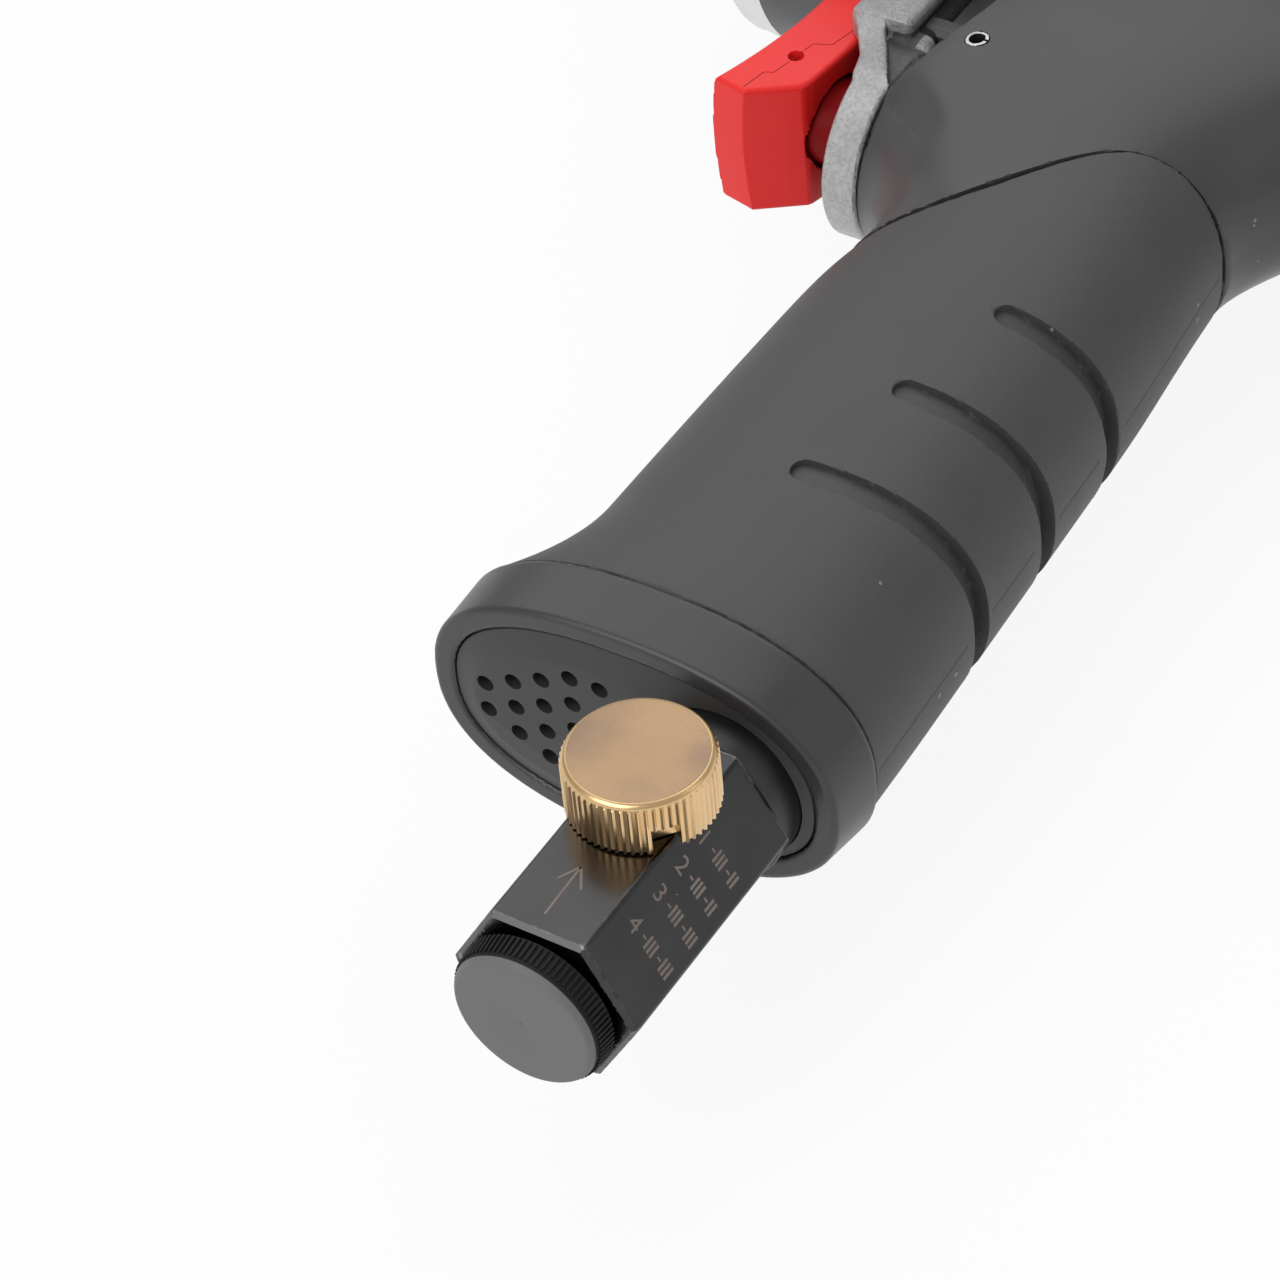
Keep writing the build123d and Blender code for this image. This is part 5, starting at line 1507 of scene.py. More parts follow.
    def pin_form(self, points: Array) -> Array:
        """Distance to the split roll pin, which ends flush with the panels.

        Args:
            points: Places, one in each row.

        Returns:
            Signed distances.
        """
        (x, y), radius = self.pin_place()
        reach = self.pin_reach
        pin = round_off(rod(points, Z, (x, y), radius, -reach, reach), self.panels(points) - 0.05, 0.15)
        slot = np.maximum(np.abs(points[:, Y] - y) - self.pin_slot, points[:, X] - x)
        return cut(cut(pin, rod(points, Z, (x, y), self.pin_bore, -reach, reach)), slot)

    def pin(self) -> Mesh:
        """Mesh of the roll pin.

        Returns:
            The mesh in metres.
        """
        (x, y), radius = self.pin_place()
        wide = self.grip_edges(np.array([y]))[2][0] + 2.0
        low = (x - radius, y - radius, -wide)
        return contour("roll_pin", self.pin_form, low, (x + radius, y + radius, wide), 0.25)

    def housing(self) -> Mesh:
        """Mesh of the motor housing with blended forms."""
        return contour("housing_shell", self.housing_form, (-140.0, -31.8, -31.8), (-64.0, 167.0, 31.8), 0.9)

    def lip_form(self, points: Array) -> Array:
        """Distance to the stepped lip that closes the gap beside the frame.

        Args:
            points: Places, one in each row.

        Returns:
            Signed distances.
        """
        mirrored = np.stack([points[:, X], points[:, Y], np.abs(points[:, Z])], 1)
        low, high = self.lip_low, self.lip_high
        end, top = self.lip_step
        plate = block(mirrored, low, high)
        step = block(mirrored, (low[0], high[1], low[2]), (high[0], end, top))
        step = round_off(step, (mirrored[:, Y] - end + mirrored[:, Z] - top + 0.8) / np.sqrt(2.0), 0.2)
        return np.minimum(plate, step)

    def lip(self) -> Mesh:
        """Mesh of the stepped lip on both sides.

        Returns:
            The mesh in metres.
        """
        low = (self.lip_low[0], self.lip_low[1], -self.lip_step[1])
        high = (self.lip_high[0], self.lip_step[0], self.lip_step[1])
        return contour("housing_lip", self.lip_form, low, high, 0.5)

    def sleeve_form(self, points: Array) -> Array:
        """Distance to the grip sleeve with its finger grooves.

        Args:
            points: Places, one in each row.

        Returns:
            Signed distances.
        """
        y = points[:, Y]
        skin = self.sleeve_skin(points)
        floor = self.sleeve_skin(points, *self.groove_depths)
        way = np.array((-cos(radians(self.groove_tilt)), -sin(radians(self.groove_tilt))))
        for start in self.groove_starts:
            off = points[:, :2] - np.array(start)
            along = np.clip(off @ way, 0.0, self.groove_reach)
            strip = np.linalg.norm(off - along[:, None] * way, axis=1) - self.groove_half_width
            groove = round_off(strip, -floor, self.groove_corner)
            skin = cut(skin, groove, self.groove_lip)
        skin = round_off(skin, self.seam_gap - self.seam_drop(points), 0.6)
        skin = round_off(skin, y - self.grip_end, 0.5)
        return cut(skin, self.core(points))

    def sleeve(self) -> Mesh:
        """Mesh of the grip sleeve."""
        return contour("grip_cover", self.sleeve_form, (-121.0, 63.0, -18.6), (-62.0, 167.3, 18.6), 0.6)

    def parting_line(self) -> Mesh:
        """Fine mould line down the back of the sleeve, broken at the grooves.

        Returns:
            The mesh in metres.
        """
        form = bmesh.new()
        ys = np.linspace(self.seam[1][1] + 2.0, self.grip_end - 1.0, 60)
        backs = self.grip_edges(ys)[0]
        for y, after, x, x_after in zip(ys, ys[1:], backs, backs[1:]):
            middle = (y + after) / 2
            falls = [(start[0] - x) * np.tan(radians(self.groove_tilt)) for start in self.groove_starts]
            near = [abs(middle - start[1] + fall) for start, fall in zip(self.groove_starts, falls)]
            if min(near) > self.groove_half_width + 1.6:
                stroke(form, Vector((x, y, 0)), Vector((x_after, after, 0)), Vector((-1, 0, 0)), (0.16, 0.02))
        return closed_mesh("grip_parting_line", form)

    def foot_form(self, points: Array) -> Array:
        """Distance to the foot cap.

        Args:
            points: Places, one in each row.

        Returns:
            Signed distances.
        """
        y = points[:, Y]
        share = np.clip((y - self.foot_top) / (self.foot_rim - self.foot_top), 0.0, 1.3)
        edges = [top + share * (rim - top) for top, rim in zip(self.foot_top_oval, self.foot_rim_oval)]
        cap = oval(points, edges, self.grip_power)
        cap = round_off(cap, y - self.foot_bottom, self.foot_edge)
        cap = round_off(cap, self.foot_top - y, 0.7)
        back, front, half_width = self.foot_rim_oval
        inner = (back + self.rim_width, front - self.rim_width, half_width - self.rim_width)
        mouth = oval(points, inner, self.grip_power)
        cap = cut(cap, np.maximum(mouth, self.foot_floor - y), 0.6)
        cap = cut(cap, rod(points, Y, (INLET_X, 0.0), BUSHING_RADIUS, 160.0, 180.0))
        return cut(cap, self.exhaust_passage(points, 160.0))

    def foot(self) -> Mesh:
        """Mesh of the foot cap.

        Returns:
            The mesh in metres.
        """
        back, front, half_width = self.foot_top_oval
        low = (back, self.foot_top, -half_width)
        return contour("foot_shell", self.foot_form, low, (front + 0.7, self.foot_bottom, half_width), 0.42)

    def grille_base(self) -> Mesh:
        """Plate with a bevelled border, before it is pierced.

        Returns:
            The mesh in metres.
        """
        back, front, half_width = self.foot_rim_oval
        first = self.rim_width + self.grille_fit
        levels = (
            (self.foot_floor, first),
            (self.grille_edge, first),
            (self.grille_edge + 0.15, first + 0.1),
            (self.grille_face - 0.12, first + self.grille_bevel - 0.1),
            (self.grille_face, first + self.grille_bevel + 0.3),
        )
        count, power = self.grille_steps, self.grip_power
        vertices = []
        for y, inset in levels:
            length, width = (front - back) / 2 - inset, half_width - inset
            for index in range(count):
                angle = tau * index / count
                along, across = cos(angle), sin(angle)
                size = (abs(along) ** power + abs(across) ** power) ** (1 / power)
                vertices.append(((front + back) / 2 + length * along / size, y, width * across / size))
        faces = [list(range(count)), [count * (len(levels) - 1) + index for index in reversed(range(count))]]
        for level in range(len(levels) - 1):
            for index in range(count):
                here = level * count + index
                beside = level * count + (index + 1) % count
                faces.append([beside, here, here + count, beside + count])
        return plain_mesh("exhaust_plate_base", np.array(vertices), faces)

    def grille(self) -> Mesh:
        """Exhaust plate pierced by a geometry tree.

        Returns:
            The mesh in metres.
        """
        values = {
            "Hole Radius": self.hole_radius * MM,
            "Pitch Along": self.hole_pitch[0] * MM,
            "Pitch Across": self.hole_pitch[1] * MM,
            "First Column": self.hole_first_x * MM,
            "Seat Radius": (COLLAR_RADIUS + self.grille_fit) * MM,
            "Seat Place": INLET_X * MM,
            "Level": (self.foot_floor + self.grille_face) / 2 * MM,
        }
        base = self.grille_base()
        return self.workshop.grow("exhaust_plate", "pierced_plate", base, GRILLE_SKIN, values, self.pierce)

    def pierce(self, graph: Graph, given: Sockets) -> Node:
        """Takes the columns of holes and the collar's seat out of the plate.

        Args:
            graph: Graph of the tree.
            given: The tree's inputs.

        Returns:
            The last node.
        """
        columns = graph.add("GeometryNodeJoinGeometry")
        for column, count in enumerate(self.hole_columns):
            shift = graph.math("MULTIPLY", given["Pitch Along"], float(column))
            x = graph.math("SUBTRACT", given["First Column"], shift)
            z = graph.math("MULTIPLY", given["Pitch Across"], -(count - 1) / 2)
            step = graph.vector(z=given["Pitch Across"])
            row = {"Count": count, "Start Location": graph.vector(x, given["Level"], z), "Offset": step}
            graph.link(graph.add("GeometryNodeMeshLine", row, mode="OFFSET"), columns.inputs[0])
        laid = (radians(90.0), 0.0, 0.0)
        bar = {"Vertices": 28, "Radius": given["Hole Radius"], "Depth": self.drill_length * MM}
        drill = graph.moved(graph.add("GeometryNodeMeshCylinder", bar), Rotation=laid)
        drills = graph.add("GeometryNodeRealizeInstances", {0: graph.copies(columns, drill)})
        bar = {"Vertices": 96, "Radius": given["Seat Radius"], "Depth": self.drill_length * MM}
        place = graph.vector(given["Seat Place"], given["Level"])
        seat = graph.moved(graph.add("GeometryNodeMeshCylinder", bar), Translation=place, Rotation=laid)
        plate = {"Mesh 1": given["Geometry"]}
        pierced = graph.add("GeometryNodeMeshBoolean", plate, operation="DIFFERENCE", solver="EXACT")
        for tool in (drills, seat):
            graph.link(tool, pierced.inputs["Mesh 2"])
        return pierced


@dataclass
class Regulator:
    """Inlet collar, hexagon body with its marks, knurled knob and dust plug."""

    workshop: Workshop
    across_flats: float = 22.0
    hex_top: float = 181.3
    hex_end: float = 216.0
    hex_edge: float = 0.35
    end_chamfer: float = 0.6
    nipple_top: float = 170.0
    nipple_radius: float = 6.55
    thread_pitch: float = 1.34
    thread_depth: float = 0.5
    thread_radius: float = 6.6
    passage_radius: float = 4.0
    bore_top: float = 199.0
    spool_bore: float = 5.0
    spool_floor: float = -7.0
    knob_radius: float = 9.42
    knob_bottom: float = 11.25
    knob_top: float = 19.1
    knob_teeth: int = 60
    tooth_depth: float = 0.24
    tooth_share: float = 1.72
    tooth_chamfer: float = 0.35
    knob_curve: float = 0.85
    curve_steps: int = 6
    knob_chamfer: float = 0.3
    notch_angle: float = 140.0
    notch_size: Point = (6.0, 3.6, 7.2)
    notch_reach: float = 9.42 - 2.6 + 3.0
    collar_top: float = 172.5
    bushing_top: float = 142.0
    bushing_bore: float = 5.4
    bushing_step: float = 168.5
    plug_gap: float = 0.6
    plug_back_radius: float = 10.3
    plug_face_radius: float = 9.6
    plug_face: float = 220.9
    plug_stem_top: float = 204.0
    plug_stem_radius: float = 6.5
    plug_wall: float = 1.6
    plug_ribs: int = 84
    rib_size: Point = (0.34, 2.6, 0.3)
    rib_gap: float = 0.35
    rib_lean: float = 6.0
    row_places: tuple[float, ...] = (191.9, 196.9, 201.9, 207.4)
    row_start: float = -3.9
    digit_height: float = 3.5
    dash_starts: Flat = (2.6, 6.0)
    dash_length: float = 0.7
    bar_starts: Flat = (3.8, 7.2)
    bar_half_height: float = 1.05
    bar_width: float = 0.4
    bar_pitch: float = 0.68
    mark_height: float = 0.015
    arrow: tuple[Flat, ...] = ((-103.5, 213.2), (-103.3, 204.9), (-101.8, 207.7), (-105.2, 208.0))

    def build(self) -> None:
        """Makes all the pieces of the regulator."""
        put = self.workshop.put
        put("inlet_collar", self.bushing(), [BUSHING_OXIDE], Body.TOOL, ["inlet_bushing"])
        put("regulator_hex", self.hexagon(), [BLACK_OXIDE], Body.TOOL, ["regulator_body"])
        put("regulator_marks", self.marks(), [ETCHED], Body.TOOL)
        # The dial's top face is darker brass: partly tarnish, partly painted shade.
        put("regulator_dial", self.knob(), [BRASS_SIDE, BRASS_FACE_TARNISH_AND_SHADE], Body.REGULATOR, ["regulator_knob"])
        # The plug's side and its ribs get painted shade.
        put("inlet_plug", self.plug_head(), [PLUG_SKIN, PLUG_SHADE], Body.PLUG, ["dust_plug"])
        put("plug_ribs", self.plug_grip(), [PLUG_SHADE], Body.PLUG)

    def down_handle(self) -> Matrix:
        """Takes a turned piece's axis to the inlet's axis."""
        return Matrix.Translation((INLET_X, 0.0, 0.0)) @ Matrix.Rotation(radians(-90.0), 4, "X")

    def bushing(self) -> Mesh:
        """Threaded bushing with its round collar.

        Returns:
            The mesh in metres.
        """
        profile = [
            (self.bushing_top, self.bushing_bore),
            (self.bushing_top, BUSHING_RADIUS),
            (self.collar_top, BUSHING_RADIUS),
            (self.collar_top, COLLAR_RADIUS),
            (self.hex_top, COLLAR_RADIUS),
            (self.hex_top, self.thread_radius),
            (self.bushing_step, self.thread_radius),
            (self.bushing_step, self.bushing_bore),
        ]
        return lathe("inlet_collar", rounded(profile, 0.5), self.down_handle())

    def hexagon_form(self, points: Array) -> Array:
        """Distance to the hexagon body.

        Args:
            points: Places, one in each row.

        Returns:
            Signed distances.
        """
        x, y, z = points[:, X] - INLET_X, points[:, Y], points[:, Z]
        half = self.across_flats / 2
        sides = [np.abs(x * cos(turn) + z * sin(turn)) - half for turn in HEX_TURNS]
        form = round_off(round_off(sides[0], sides[1], self.hex_edge), sides[2], self.hex_edge)
        form = np.maximum(form, np.maximum(y - self.hex_end, self.hex_top - y))
        form = np.maximum(form, (np.max(sides, axis=0) + y - self.hex_end + self.end_chamfer) / np.sqrt(2.0))
        reach = np.hypot(x, z)
        wave = np.abs((y / self.thread_pitch) % 1.0 - 0.5) * 2 * self.thread_depth
        ends = np.maximum(self.nipple_top - y, y - self.hex_top - 1.0)
        form = np.minimum(form, np.maximum(reach - self.nipple_radius + wave, ends))
        form = cut(form, np.maximum(reach - self.thread_radius, self.bore_top - y), 0.4)
        form = cut(form, reach - self.passage_radius)
        return cut(form, rod(points, Z, (INLET_X, KNOB_Y), self.spool_bore, self.spool_floor, 20.0), 0.3)

    def hexagon(self) -> Mesh:
        """Mesh of the hexagon body.

        Returns:
            The mesh in metres.
        """
        reach = self.across_flats / 2 / cos(pi / 6)
        low = (INLET_X - reach, self.nipple_top, -self.across_flats / 2)
        high = (INLET_X + reach, self.hex_end, self.across_flats / 2)
        return contour("regulator_hex", self.hexagon_form, low, high, 0.36)

    def marks(self) -> Mesh:
        """Etched arrow and four numbered rows of bars, as thin raised strokes.

        Returns:
            The mesh in metres.
        """
        form = bmesh.new()
        tail, tip, left, right = [Vector((x, y, self.across_flats / 2)) for x, y in self.arrow]
        thin = (0.75 * self.bar_width, self.mark_height)
        for start, end in ((tail, tip), (left, tip), (right, tip)):
            stroke(form, start, end, Vector((0, 0, 1)), thin)
        outward = Vector((-cos(pi / 6), 0.0, 0.5))
        down = Vector((-0.5, 0.0, -cos(pi / 6)))
        middle = Vector((INLET_X, 0.0, 0.0)) + outward * self.across_flats / 2
        for row, y in enumerate(self.row_places):
            start = middle + Vector((0, y, 0)) + down * self.row_start
            self.digit(form, str(row + 1), start, down, outward)
            for dash in self.dash_starts:
                stroke(form, start + down * dash, start + down * (dash + self.dash_length), outward, thin)
            tall = Vector((0, self.bar_half_height, 0))
            first, second = self.bar_starts
            places = [first + self.bar_pitch * bar for bar in range(3)]
            places += [second + self.bar_pitch * bar for bar in range(2 + row // 2)]
            for place in [start + down * reach for reach in places]:
                stroke(form, place - tall, place + tall, outward, (self.bar_width, self.mark_height))
        return closed_mesh("regulator_marks", form)

    def digit(
        self, form: bmesh.types.BMesh, text: str, start: Vector, along: Vector, outward: Vector
    ) -> None:
        """Adds one numeral lying on a flat.

        Args:
            form: Mesh that gets the numeral.
            text: The numeral.
            start: Its lower left corner.
            along: Reading direction.
            outward: Direction off the surface.
        """
        curve = bpy.data.curves.new("numeral_" + text, "FONT")
        curve.body = text
        curve.size = self.digit_height
        curve.extrude = self.mark_height
        carrier = added("numeral_carrier", curve)
        bpy.context.view_layer.update()
        flat = bpy.data.meshes.new_from_object(carrier.evaluated_get(bpy.context.evaluated_depsgraph_get()))
        bpy.data.objects.remove(carrier)
        upward = outward.cross(along)
        basis = Matrix((along, upward, outward)).transposed().to_4x4()
        flat.transform(Matrix.Translation(start - upward * self.digit_height * 0.36) @ basis)
        form.from_mesh(flat)
        bpy.data.meshes.remove(flat)

    def knob(self) -> Mesh:
        """Brass knob with its knurl set round it by a geometry tree.

        Returns:
            The mesh in metres.
        """
        root = self.knob_radius - self.tooth_depth
        low, top, curve = self.knob_bottom, self.knob_top, self.knob_curve
        profile = [(low, 0.0), (low, root - self.knob_chamfer), (low + self.knob_chamfer, root)]
        for index in range(self.curve_steps + 1):
            turn = pi / 2 * index / self.curve_steps
            profile.append((top - curve * (1 - sin(turn)), root - curve * (1 - cos(turn))))
        profile += [(top, root - curve - 0.4), (top, 0.0)]
        core = lathe("knob_core", profile, Matrix.Translation((INLET_X, KNOB_Y, 0.0)), 108)
        length, width, height = self.notch_size
        turn = radians(self.notch_angle)
        notch_x, notch_y = INLET_X + self.notch_reach * cos(turn), KNOB_Y + self.notch_reach * sin(turn)
        side = self.tooth_depth * self.tooth_share
        values = {
            "Teeth": self.knob_teeth,
            "Tooth Side": side * MM,
            "Tooth Circle": (self.knob_radius - side * 0.7071) * MM,
            "Bottom": low * MM,
            "Top": (top - curve * 0.75) * MM,
            "Chamfer": self.tooth_chamfer * MM,
            "Notch Size": (length * MM, width * MM, height * MM),
            "Notch Place": (notch_x * MM, notch_y * MM, low * MM),
            "Notch Turn": turn,
            "Centre": (INLET_X * MM, KNOB_Y * MM, 0.0),
        }
        mesh = self.workshop.grow("regulator_dial", "knurled_knob", core, BRASS_SIDE, values, self.knurl)
        # The top face gets the darker brass, which is partly tarnish and partly painted shade.
        limit = (top - 0.02) * MM
        for face in mesh.polygons:
            face.material_index = int(face.center.z > limit)
        return mesh

    @staticmethod
    def knurl(graph: Graph, given: Sockets) -> Node:
        """Sets the teeth round the knob and cuts its notch.

        Args:
            graph: Graph of the tree.
            given: The tree's inputs.

        Returns:
            The last node.
        """
        tall = graph.math("SUBTRACT", given["Top"], given["Bottom"])
        size = graph.vector(given["Tooth Side"], given["Tooth Side"], tall)
        tooth = graph.add("GeometryNodeMeshCube", {"Size": size, "Vertices Z": 2})
        edged = graph.moved(tooth, Rotation=(0.0, 0.0, radians(45.0)))
        parts = graph.add("ShaderNodeSeparateXYZ", {0: graph.add("GeometryNodeInputPosition")})
        upper = graph.math("GREATER_THAN", parts.outputs[2], 0.0)
        outer = graph.math("GREATER_THAN", parts.outputs[0], 1e-5)
        chamfer = graph.math("MULTIPLY", given["Chamfer"], -1.0)
        drop = graph.vector(z=graph.math("MULTIPLY", graph.math("MULTIPLY", upper, outer), chamfer))
        sloped = graph.add("GeometryNodeSetPosition", {"Geometry": edged, "Offset": drop})
        angle = graph.math("MULTIPLY", graph.add("GeometryNodeInputIndex"), tau)
        spin = graph.vector(z=graph.math("DIVIDE", angle, given["Teeth"]))
        ring = graph.copies(graph.circle(given["Teeth"], given["Tooth Circle"]), sloped, spin)
        real = graph.add("GeometryNodeRealizeInstances", {0: ring})
        level = graph.math("MULTIPLY", graph.math("ADD", given["Top"], given["Bottom"]), 0.5)
        rise = {0: given["Centre"], 1: graph.vector(z=level)}
        teeth = graph.moved(real, Translation=graph.add("ShaderNodeVectorMath", rise, operation="ADD"))
        joined = graph.add("GeometryNodeJoinGeometry")
        for piece in (teeth, given["Geometry"]):
            graph.link(piece, joined.inputs[0])
        cutter = graph.add("GeometryNodeMeshCube", {"Size": given["Notch Size"]})
        turn = graph.vector(z=given["Notch Turn"])
        notch = graph.moved(cutter, Translation=given["Notch Place"], Rotation=turn)
        merged = {"Mesh 1": joined, "Mesh 2": notch, "Self Intersection": True}
        return graph.add("GeometryNodeMeshBoolean", merged, operation="DIFFERENCE", solver="EXACT")

    def plug_head(self) -> Mesh:
        """Dust plug without its ribs, with painted shade on its side below the face.

        Returns:
            The mesh in metres.
        """
        back = self.hex_end + self.plug_gap
        inner = self.plug_stem_radius - self.plug_wall
        profile = [
            (self.plug_stem_top, inner),
            (self.plug_stem_top, self.plug_stem_radius),
            (back, self.plug_stem_radius),
            (back, self.plug_back_radius - 0.3),
            (self.plug_face - 0.7, self.plug_face_radius + 0.1),
            (self.plug_face, self.plug_face_radius - 0.5),
            (self.plug_face - 0.1, 0.0),
            (back + 0.4, 0.0),
            (back + 0.4, inner),
        ]
        mesh = lathe("inlet_plug", rounded(profile, 0.3), self.down_handle())
        # Faces below the rim of the face get painted shade.
        for face in mesh.polygons:
            face.material_index = int(face.center.y < (self.plug_face - 0.75) * MM)
        return mesh

    def plug_grip(self) -> Mesh:
        """Fine ribs set round the plug's head by a geometry tree.

        Returns:
            The mesh in metres.
        """
        middle = self.hex_end + self.plug_gap + self.rib_gap + self.rib_size[1] / 2
        values = {
            "Ribs": self.plug_ribs,
            "Rib Size": tuple(MM * size for size in self.rib_size),
            "Rib Circle": (self.plug_back_radius - 0.3) * MM,
            "Rib Lean": radians(self.rib_lean),
            "Centre": (INLET_X * MM, middle * MM, 0.0),
        }
        return self.workshop.grow("plug_ribs", "ribbed_plug", None, PLUG_SHADE, values, self.ribbing)

    @staticmethod
    def ribbing(graph: Graph, given: Sockets) -> Node:
        """Sets the ribs on a circle round the plug's axis.

        Args:
            graph: Graph of the tree.
            given: The tree's inputs.

        Returns:
            The last node.
        """
        rib = graph.add("GeometryNodeMeshCube", {"Size": given["Rib Size"]})
        leaned = graph.moved(rib, Rotation=graph.vector(z=given["Rib Lean"]))
        circle = graph.circle(given["Ribs"], given["Rib Circle"])
        laid = graph.moved(circle, Rotation=(radians(90.0), 0.0, 0.0))
        angle = graph.math("MULTIPLY", graph.add("GeometryNodeInputIndex"), -tau)
        spin = graph.vector(y=graph.math("DIVIDE", angle, given["Ribs"]))
        return graph.moved(graph.copies(laid, leaned, spin), Translation=given["Centre"])


@dataclass
class TriggerGroup:
    """Trigger, its mould line and the throttle spring."""

    workshop: Workshop
    half_width: float = 10.6
    tip: Flat = (-40.2, 69.8)
    front_middle: Flat = (-43.75, 56.0)
    top_front: Flat = (-44.6, 44.0)
    rest: tuple[Flat, ...] = (
        (-48.5, 41.8), (-52.6, 44.5), (-54.4, 51.0), (-52.7, 64.6),
        (-52.3, 66.0), (-51.9, 66.6), (-45.4, 71.0),
    )
    face_points: int = 14
    edge: float = 0.75
    crown: float = 0.95
    crown_span: Flat = (-50.0, -43.0)
    skirt_y: float = 59.3
    skirt_radius: float = 6.4
    skirt_bore: float = 5.3
    skirt_span: Flat = (-60.0, -51.0)
    skirt_gap: float = 0.7
    gap_floor: float = -51.9
    boss_radius: float = 4.6
    stem_radius: float = 2.25
    stem_front: float = -45.5
    pin_x: float = -47.9
    pin_radius: float = 1.15
    mould_line: tuple[Flat, ...] = (
        (-44.9, 70.2), (-45.75, 66.05), (-47.0, 65.55), (-47.8, 62.2), (-48.2, 59.8), (-48.7, 57.6),
        (-51.15, 56.7), (-52.25, 52.1), (-52.5, 47.0),
    )
    line_width: float = 0.13
    line_height: float = 0.012
    spring_radius: float = 4.1
    spring_wire: float = 0.5
    spring_span: Flat = (-107.5, -91.5)
    spring_turns: float = 7.5
    pull: float = 5.0

    def build(self) -> None:
        """Makes the pieces of the trigger group."""
        put = self.workshop.put
        # The trigger's skirt gets a dark red painted shade, which the mould line shares.
        put("trigger_lever", self.trigger(), [TRIGGER_RED, TRIGGER_SHADE_AND_SEAM], Body.TRIGGER, ["trigger"])
        put("trigger_mould_line", self.line(), [TRIGGER_SHADE_AND_SEAM], Body.TRIGGER)
        spring = put("return_spring", self.spring(), [PIN_STEEL], Body.TOOL, ["throttle_spring"])
        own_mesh(spring)

    def profile(self) -> list[Flat]:
        """Side outline of the trigger with its hollow finger face.

        Returns:
            The corners of the outline in order.
        """
        corners = (self.tip, self.front_middle, self.top_front)
        points = []
        for index in range(self.face_points):
            share = index / (self.face_points - 1)
            weights = ((1 - share) * (1 - 2 * share), 4 * share * (1 - share), share * (2 * share - 1))
            along, across = [sum(w * corner[axis] for w, corner in zip(weights, corners)) for axis in (X, Y)]
            points.append((along, across))
        return [*points, *self.rest]

    def form(self, points: Array) -> Array:
        """Distance to the trigger.

        Args:
            points: Places, one in each row.

        Returns:
            Signed distances.
        """
        back, front = self.crown_span
        ahead = np.clip((points[:, X] - back) / (front - back), 0.0, 1.0)
        bulge = self.crown * (1 - (points[:, Z] / self.half_width) ** 2) * ahead
        side = outline(points[:, X] - bulge, points[:, Y], self.profile())
        lever = round_off(side, np.abs(points[:, Z]) - self.half_width, self.edge)
        low, high = self.skirt_span
        skirt, stem = (self.skirt_y, 0.0), (STEM_Y, 0.0)
        gap = self.skirt_radius + self.skirt_gap
        lever = cut(lever, rod(points, X, skirt, gap, low, self.gap_floor))
        ring = rod(points, X, skirt, self.skirt_radius, low, high)
        ring = cut(ring, rod(points, X, skirt, self.skirt_bore, low - 1.0, self.gap_floor))
        lever = np.minimum(lever, ring)
        lever = np.minimum(lever, rod(points, X, stem, self.boss_radius, low, high))
        stem_hole = Bore(X, stem, self.stem_radius, low - 5.0, self.stem_front)
        pin_hole = Bore(Z, (self.pin_x, STEM_Y), self.pin_radius, -20.0, 20.0, 0.2)
        return drilled(lever, points, (stem_hole, pin_hole))

    def trigger(self) -> Mesh:
        """Mesh of the trigger, with painted shade in dark red on its skirt and the gap round it.

        Returns:
            The mesh in metres.
        """
        low = (self.skirt_span[0], 41.0, -self.half_width)
        high = (self.tip[0] + self.crown, 71.5, self.half_width)
        lever = contour("trigger_lever", self.form, low, high, 0.35)
        # Faces of the skirt and the gap round it get painted shade in dark red.
        x, y, z = np.array([face.center for face in lever.polygons]).T / MM
        near = np.hypot(y - self.skirt_y, z) < self.skirt_radius + self.skirt_gap + 0.1
        skirt = near & (x < self.gap_floor + 0.1)
        lever.polygons.foreach_set("material_index", skirt.astype(np.int32))
        return lever

    def line(self) -> Mesh:
        """Fine mould line on both sides of the trigger.

        Returns:
            The mesh in metres.
        """
        form = bmesh.new()
        for side in (-1.0, 1.0):
            points = [Vector((x, y, side * self.half_width)) for x, y in self.mould_line]
            for start, end in zip(points, points[1:]):
                stroke(form, start, end, Vector((0, 0, side)), (self.line_width, self.line_height))
        return closed_mesh("trigger_mould_line", form)

    def spring(self) -> Mesh:
        """Return spring drawn along a spiral by a geometry tree.

        Returns:
            The mesh in metres.
        """
        low, high = self.spring_span
        values = {
            "Turns": self.spring_turns,
            "Coil Radius": self.spring_radius * MM,
            "Wire Radius": self.spring_wire * MM,
            "Length": (high - low - 2 * self.spring_wire) * MM,
            "Start": ((low + self.spring_wire) * MM, STEM_Y * MM, 0.0),
        }
        return self.workshop.grow("return_spring", "coil_spring", None, PIN_STEEL, values, self.coil)

    @staticmethod
    def coil(graph: Graph, given: Sockets) -> Node:
        """Draws round wire along a spiral and lays it along the stem.

        Args:
            graph: Graph of the tree.
            given: The tree's inputs.

        Returns:
            The last node.
        """
        spiral = {"Resolution": 40, "Rotations": given["Turns"], "Height": given["Length"]}
        spiral |= {end + " Radius": given["Coil Radius"] for end in ("Start", "End")}
        path = graph.add("GeometryNodeCurveSpiral", spiral)
        section = {"Resolution": 12, "Radius": given["Wire Radius"]}
        wire = graph.add("GeometryNodeCurvePrimitiveCircle", section)
        tube = graph.add("GeometryNodeCurveToMesh", {"Curve": path, "Profile Curve": wire, "Fill Caps": True})
        return graph.moved(tube, Translation=given["Start"], Rotation=(0.0, radians(90.0), 0.0))


